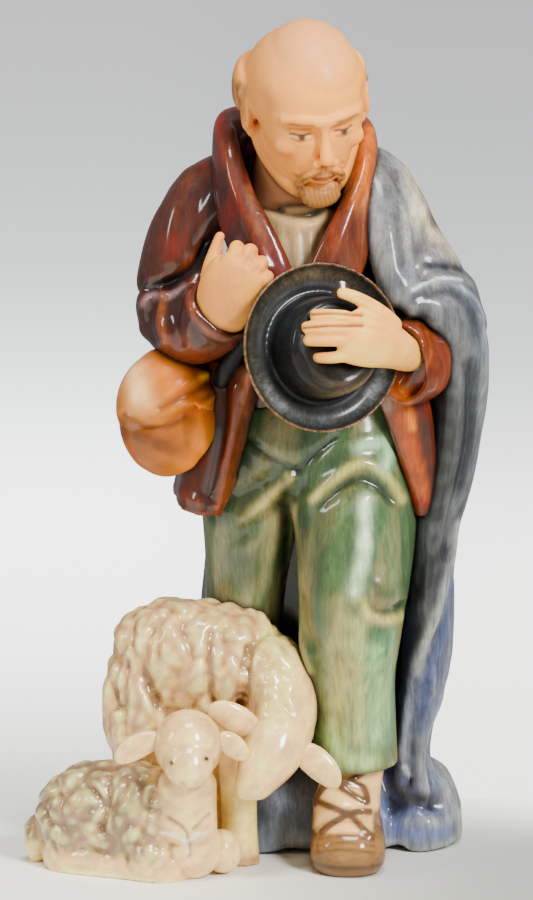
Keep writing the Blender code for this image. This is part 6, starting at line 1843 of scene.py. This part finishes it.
# the colour and strength of the painted shade where each piece meets others; the rest take near black
CONTACT_SHADE = {
    "head": (srgb(150, 96, 66), 0.5),
    "neck": (srgb(110, 60, 40), 0.8),
    "left_hand": (srgb(170, 112, 70), 0.5),
    "right_hand": (srgb(150, 96, 60), 0.6),
    "ewe": (srgb(164, 126, 94), 0.6),
    "lamb": (srgb(150, 114, 86), 0.6),
    "bag_flap": (srgb(90, 44, 22), 0.8),
    "stocking": (srgb(120, 90, 66), 0.8),
    "left_shoe": (srgb(60, 38, 24), 0.7),
    "trousers": (GREEN_BLACK, 0.85),
}
trees = {
    name: BVHTree.FromPolygons(skin.co.tolist(), [tuple(p.vertices) for p in skin.piece.data.polygons])
    for name, skin in PIECES.items()
}
for name, others in MEETING.items():
    skin = PIECES[name]
    colour, strength = CONTACT_SHADE.get(name, (NEAR_BLACK, 0.85))
    gap = np.full(len(skin.co), FAR)
    for other in others:
        low, high = PIECES[other].co.min(0) - SHADE_REACH, PIECES[other].co.max(0) + SHADE_REACH
        for i in np.flatnonzero(np.all((skin.co > low) & (skin.co < high), axis=1)):
            found = trees[other].find_nearest(skin.co[i], SHADE_REACH)[3]
            if found is not None:
                gap[i] = min(gap[i], found)
    # painted shade near the other forms
    skin.wash(colour, np.exp(-((gap / SHADE_WIDTH) ** 2)), strength)

for skin in PIECES.values():
    made = skin.piece
    skin.store()
    made.data.transform(Matrix.Scale(UNIT, 4) @ Matrix.Translation((-CENTRE[0], -CENTRE[1], 0)))
    made.data.shade_smooth()
    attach(made, "root")
for skin in PIECES.values():
    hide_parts(CASTING)


# The stand: a pale table and a grey sweep behind it, a large soft window light on either side, and the
# camera looking down a little, as the photograph was taken. The casting's middle stands at the picture's
# AXIS_AT.
PIXEL = 0.2085 * UNIT
PICTURE = (533, 900)
AXIS_AT = (290, 850)
SENSOR = 36
REACH = 1.1
BEHIND = 2.6
OVERLAP = 1.02
TABLE_HALF = 1.5
TABLE_FRONT = -1.2
TABLE_BACK = 0.047
# How strongly the lamps light the table, and the light that the ramps of tone show as 1.
TABLE_LIT = 2.2
FULL_TONE = 10

up = Vector((0, math.sin(LOOK_DOWN), math.cos(LOOK_DOWN)))
towards = Vector((0, -math.cos(LOOK_DOWN), math.sin(LOOK_DOWN)))
aim = (
    Vector((((PICTURE[0] / 2 - AXIS_AT[0]) * PIXEL) - CENTRE[0] * UNIT, -CENTRE[1] * UNIT, 0))
    + up * (AXIS_AT[1] - PICTURE[1] / 2) * PIXEL
)
lens = bpy.data.cameras.new("camera")
lens.sensor_width = SENSOR
lens.lens = SENSOR * REACH / (PICTURE[1] * PIXEL)
lens.clip_start = 0.01
lens.clip_end = 20
camera = bpy.data.objects.new("camera", lens)
camera.location = aim + towards * REACH
camera.rotation_mode = "QUATERNION"
camera.rotation_quaternion = (-towards).to_track_quat("-Z", "Y")
bpy.context.scene.collection.objects.link(camera)
bpy.context.scene.camera = camera


def shown_by(name):
    """A material with its nodes, links and shader, for the stand."""
    material = bpy.data.materials.new(name)
    material.use_nodes = True
    tree = material.node_tree
    return material, tree.nodes, tree.links, tree.nodes["Principled BSDF"]


def ramp_of(nodes, stops):
    """A ramp of light through (place, tone) stops."""
    ramp_node = nodes.new("ShaderNodeValToRGB")
    ramp_node.color_ramp.interpolation = "B_SPLINE"
    elements = ramp_node.color_ramp.elements
    while len(elements) < len(stops):
        elements.new(0.5)
    for element, (place, tone) in zip(elements, stops):
        element.position = place
        element.color = (*light_for(*tone) / FULL_TONE, 1)
    return ramp_node


def across(nodes, links, left, right, low=0.2, high=0.8):
    """A ramp up the picture for its left side and one for its right side, blended between."""
    place = nodes.new("ShaderNodeSeparateXYZ")
    links.new(nodes.new("ShaderNodeUVMap").outputs["UV"], place.inputs[0])
    part_way = nodes.new("ShaderNodeMapRange")
    part_way.interpolation_type = "SMOOTHSTEP"
    part_way.inputs["From Min"].default_value = low
    part_way.inputs["From Max"].default_value = high
    links.new(place.outputs["X"], part_way.inputs["Value"])
    blend = nodes.new("ShaderNodeMix")
    blend.data_type = "RGBA"
    links.new(part_way.outputs["Result"], blend.inputs["Factor"])
    for stops, socket in ((left, "A"), (right, "B")):
        tones = ramp_of(nodes, stops)
        links.new(place.outputs["Y"], tones.inputs["Fac"])
        links.new(
            tones.outputs["Color"], next(s for s in blend.inputs if s.name == socket and s.type == "RGBA")
        )
    return next(s for s in blend.outputs if s.type == "RGBA")


def quad(name, corners, material):
    """A flat sheet of the stand with its picture coordinates."""
    bm = bmesh.new()
    corner_verts = [bm.verts.new(corner) for corner in corners]
    face = bm.faces.new(corner_verts)
    layer = bm.loops.layers.uv.new("place")
    for loop, at in zip(face.loops, ((0, 0), (1, 0), (1, 1), (0, 1))):
        loop[layer].uv = at
    mesh = bpy.data.meshes.new(name)
    bm.to_mesh(mesh)
    bm.free()
    sheet = bpy.data.objects.new(name, mesh)
    bpy.context.scene.collection.objects.link(sheet)
    mesh.materials.append(material)
    return sheet


material, nodes, links, shader = shown_by("table_top")
# the table's tone is graded: lighter towards its back edge, painted light where it runs into the sweep, and
# darker at the front on the right
tone = across(
    nodes,
    links,
    (
        (0.0, (222, 222, 219)),
        (0.945, (224, 224, 221)),
        (0.962, (222, 222, 219)),
        (0.98, (224, 224, 222)),
        (1.0, (230, 230, 229)),
    ),
    (
        (0.0, (190, 191, 186)),
        (0.945, (192, 192, 187)),
        (0.968, (197, 197, 193)),
        (0.982, (216, 216, 213)),
        (1.0, (236, 236, 234)),
    ),
    low=0.484,
    high=0.52,
)
lit = nodes.new("ShaderNodeVectorMath")
lit.operation = "SCALE"
lit.inputs["Scale"].default_value = FULL_TONE / TABLE_LIT
links.new(tone, lit.inputs[0])
links.new(lit.outputs["Vector"], shader.inputs["Base Color"])
shader.inputs["Roughness"].default_value = 0.5
quad("table", (
    (-TABLE_HALF, TABLE_FRONT, 0), (TABLE_HALF, TABLE_FRONT, 0),
    (TABLE_HALF, TABLE_BACK, 0), (-TABLE_HALF, TABLE_BACK, 0),
), material)

material, nodes, links, shader = shown_by("sweep")
shader.inputs["Base Color"].default_value = (0, 0, 0, 1)
shader.inputs["Roughness"].default_value = 1.0
tone = across(
    nodes,
    links,
    (
        (0.0, (200, 200, 199)),
        (0.13, (207, 207, 206)),
        (0.20, (224, 225, 223)),
        (0.30, (232, 233, 232)),
        (0.44, (235, 235, 235)),
        (0.52, (230, 231, 231)),
        (0.60, (219, 220, 220)),
        (0.70, (204, 205, 205)),
        (0.84, (195, 196, 197)),
        (1.0, (190, 190, 191)),
    ),
    (
        (0.0, (226, 226, 224)),
        (0.13, (229, 229, 227)),
        (0.20, (228, 229, 227)),
        (0.32, (232, 232, 231)),
        (0.44, (229, 229, 229)),
        (0.52, (218, 219, 219)),
        (0.60, (207, 208, 208)),
        (0.70, (198, 199, 199)),
        (0.84, (190, 191, 192)),
        (1.0, (183, 183, 184)),
    ),
)
# the sweep glows, its tone painted in ramps up and across the picture: painted light on the backdrop
links.new(tone, shader.inputs["Emission Color"])
shader.inputs["Emission Strength"].default_value = FULL_TONE
wide = Vector((1, 0, 0)) * PIXEL * PICTURE[0] / 2 * (REACH + BEHIND) / REACH
high = up * PIXEL * PICTURE[1] / 2 * (REACH + BEHIND) / REACH
middle = aim - towards * BEHIND
signs = ((-1, -1), (1, -1), (1, 1), (-1, 1))
sweep = quad("sweep", [middle + wide * a * OVERLAP + high * b * OVERLAP for a, b in signs], material)
sweep.visible_diffuse = False

sky = bpy.data.worlds.new("studio")
sky.use_nodes = True
bpy.context.scene.world = sky
sky.node_tree.nodes["Background"].inputs["Color"].default_value = (1.0, 1.0, 1.02, 1)
sky.node_tree.nodes["Background"].inputs["Strength"].default_value = 0.3

for name, at, wide, high, watts in (
    ("right_window", (0.55, -0.75, 0.62), 0.2, 0.34, 21.0),
    ("left_window", (-0.85, -0.35, 0.5), 0.14, 0.34, 4.0),
    ("overhead", (0.05, -0.3, 1.0), 0.34, 0.24, 9.0),
):
    light = bpy.data.lights.new(name, "AREA")
    light.shape = "RECTANGLE"
    light.size = wide
    light.size_y = high
    light.energy = watts
    lamp = bpy.data.objects.new(name, light)
    lamp.location = at
    lamp.rotation_mode = "QUATERNION"
    lamp.rotation_quaternion = (Vector((0, 0, 0.09)) - Vector(at)).to_track_quat("-Z", "Y")
    bpy.context.scene.collection.objects.link(lamp)
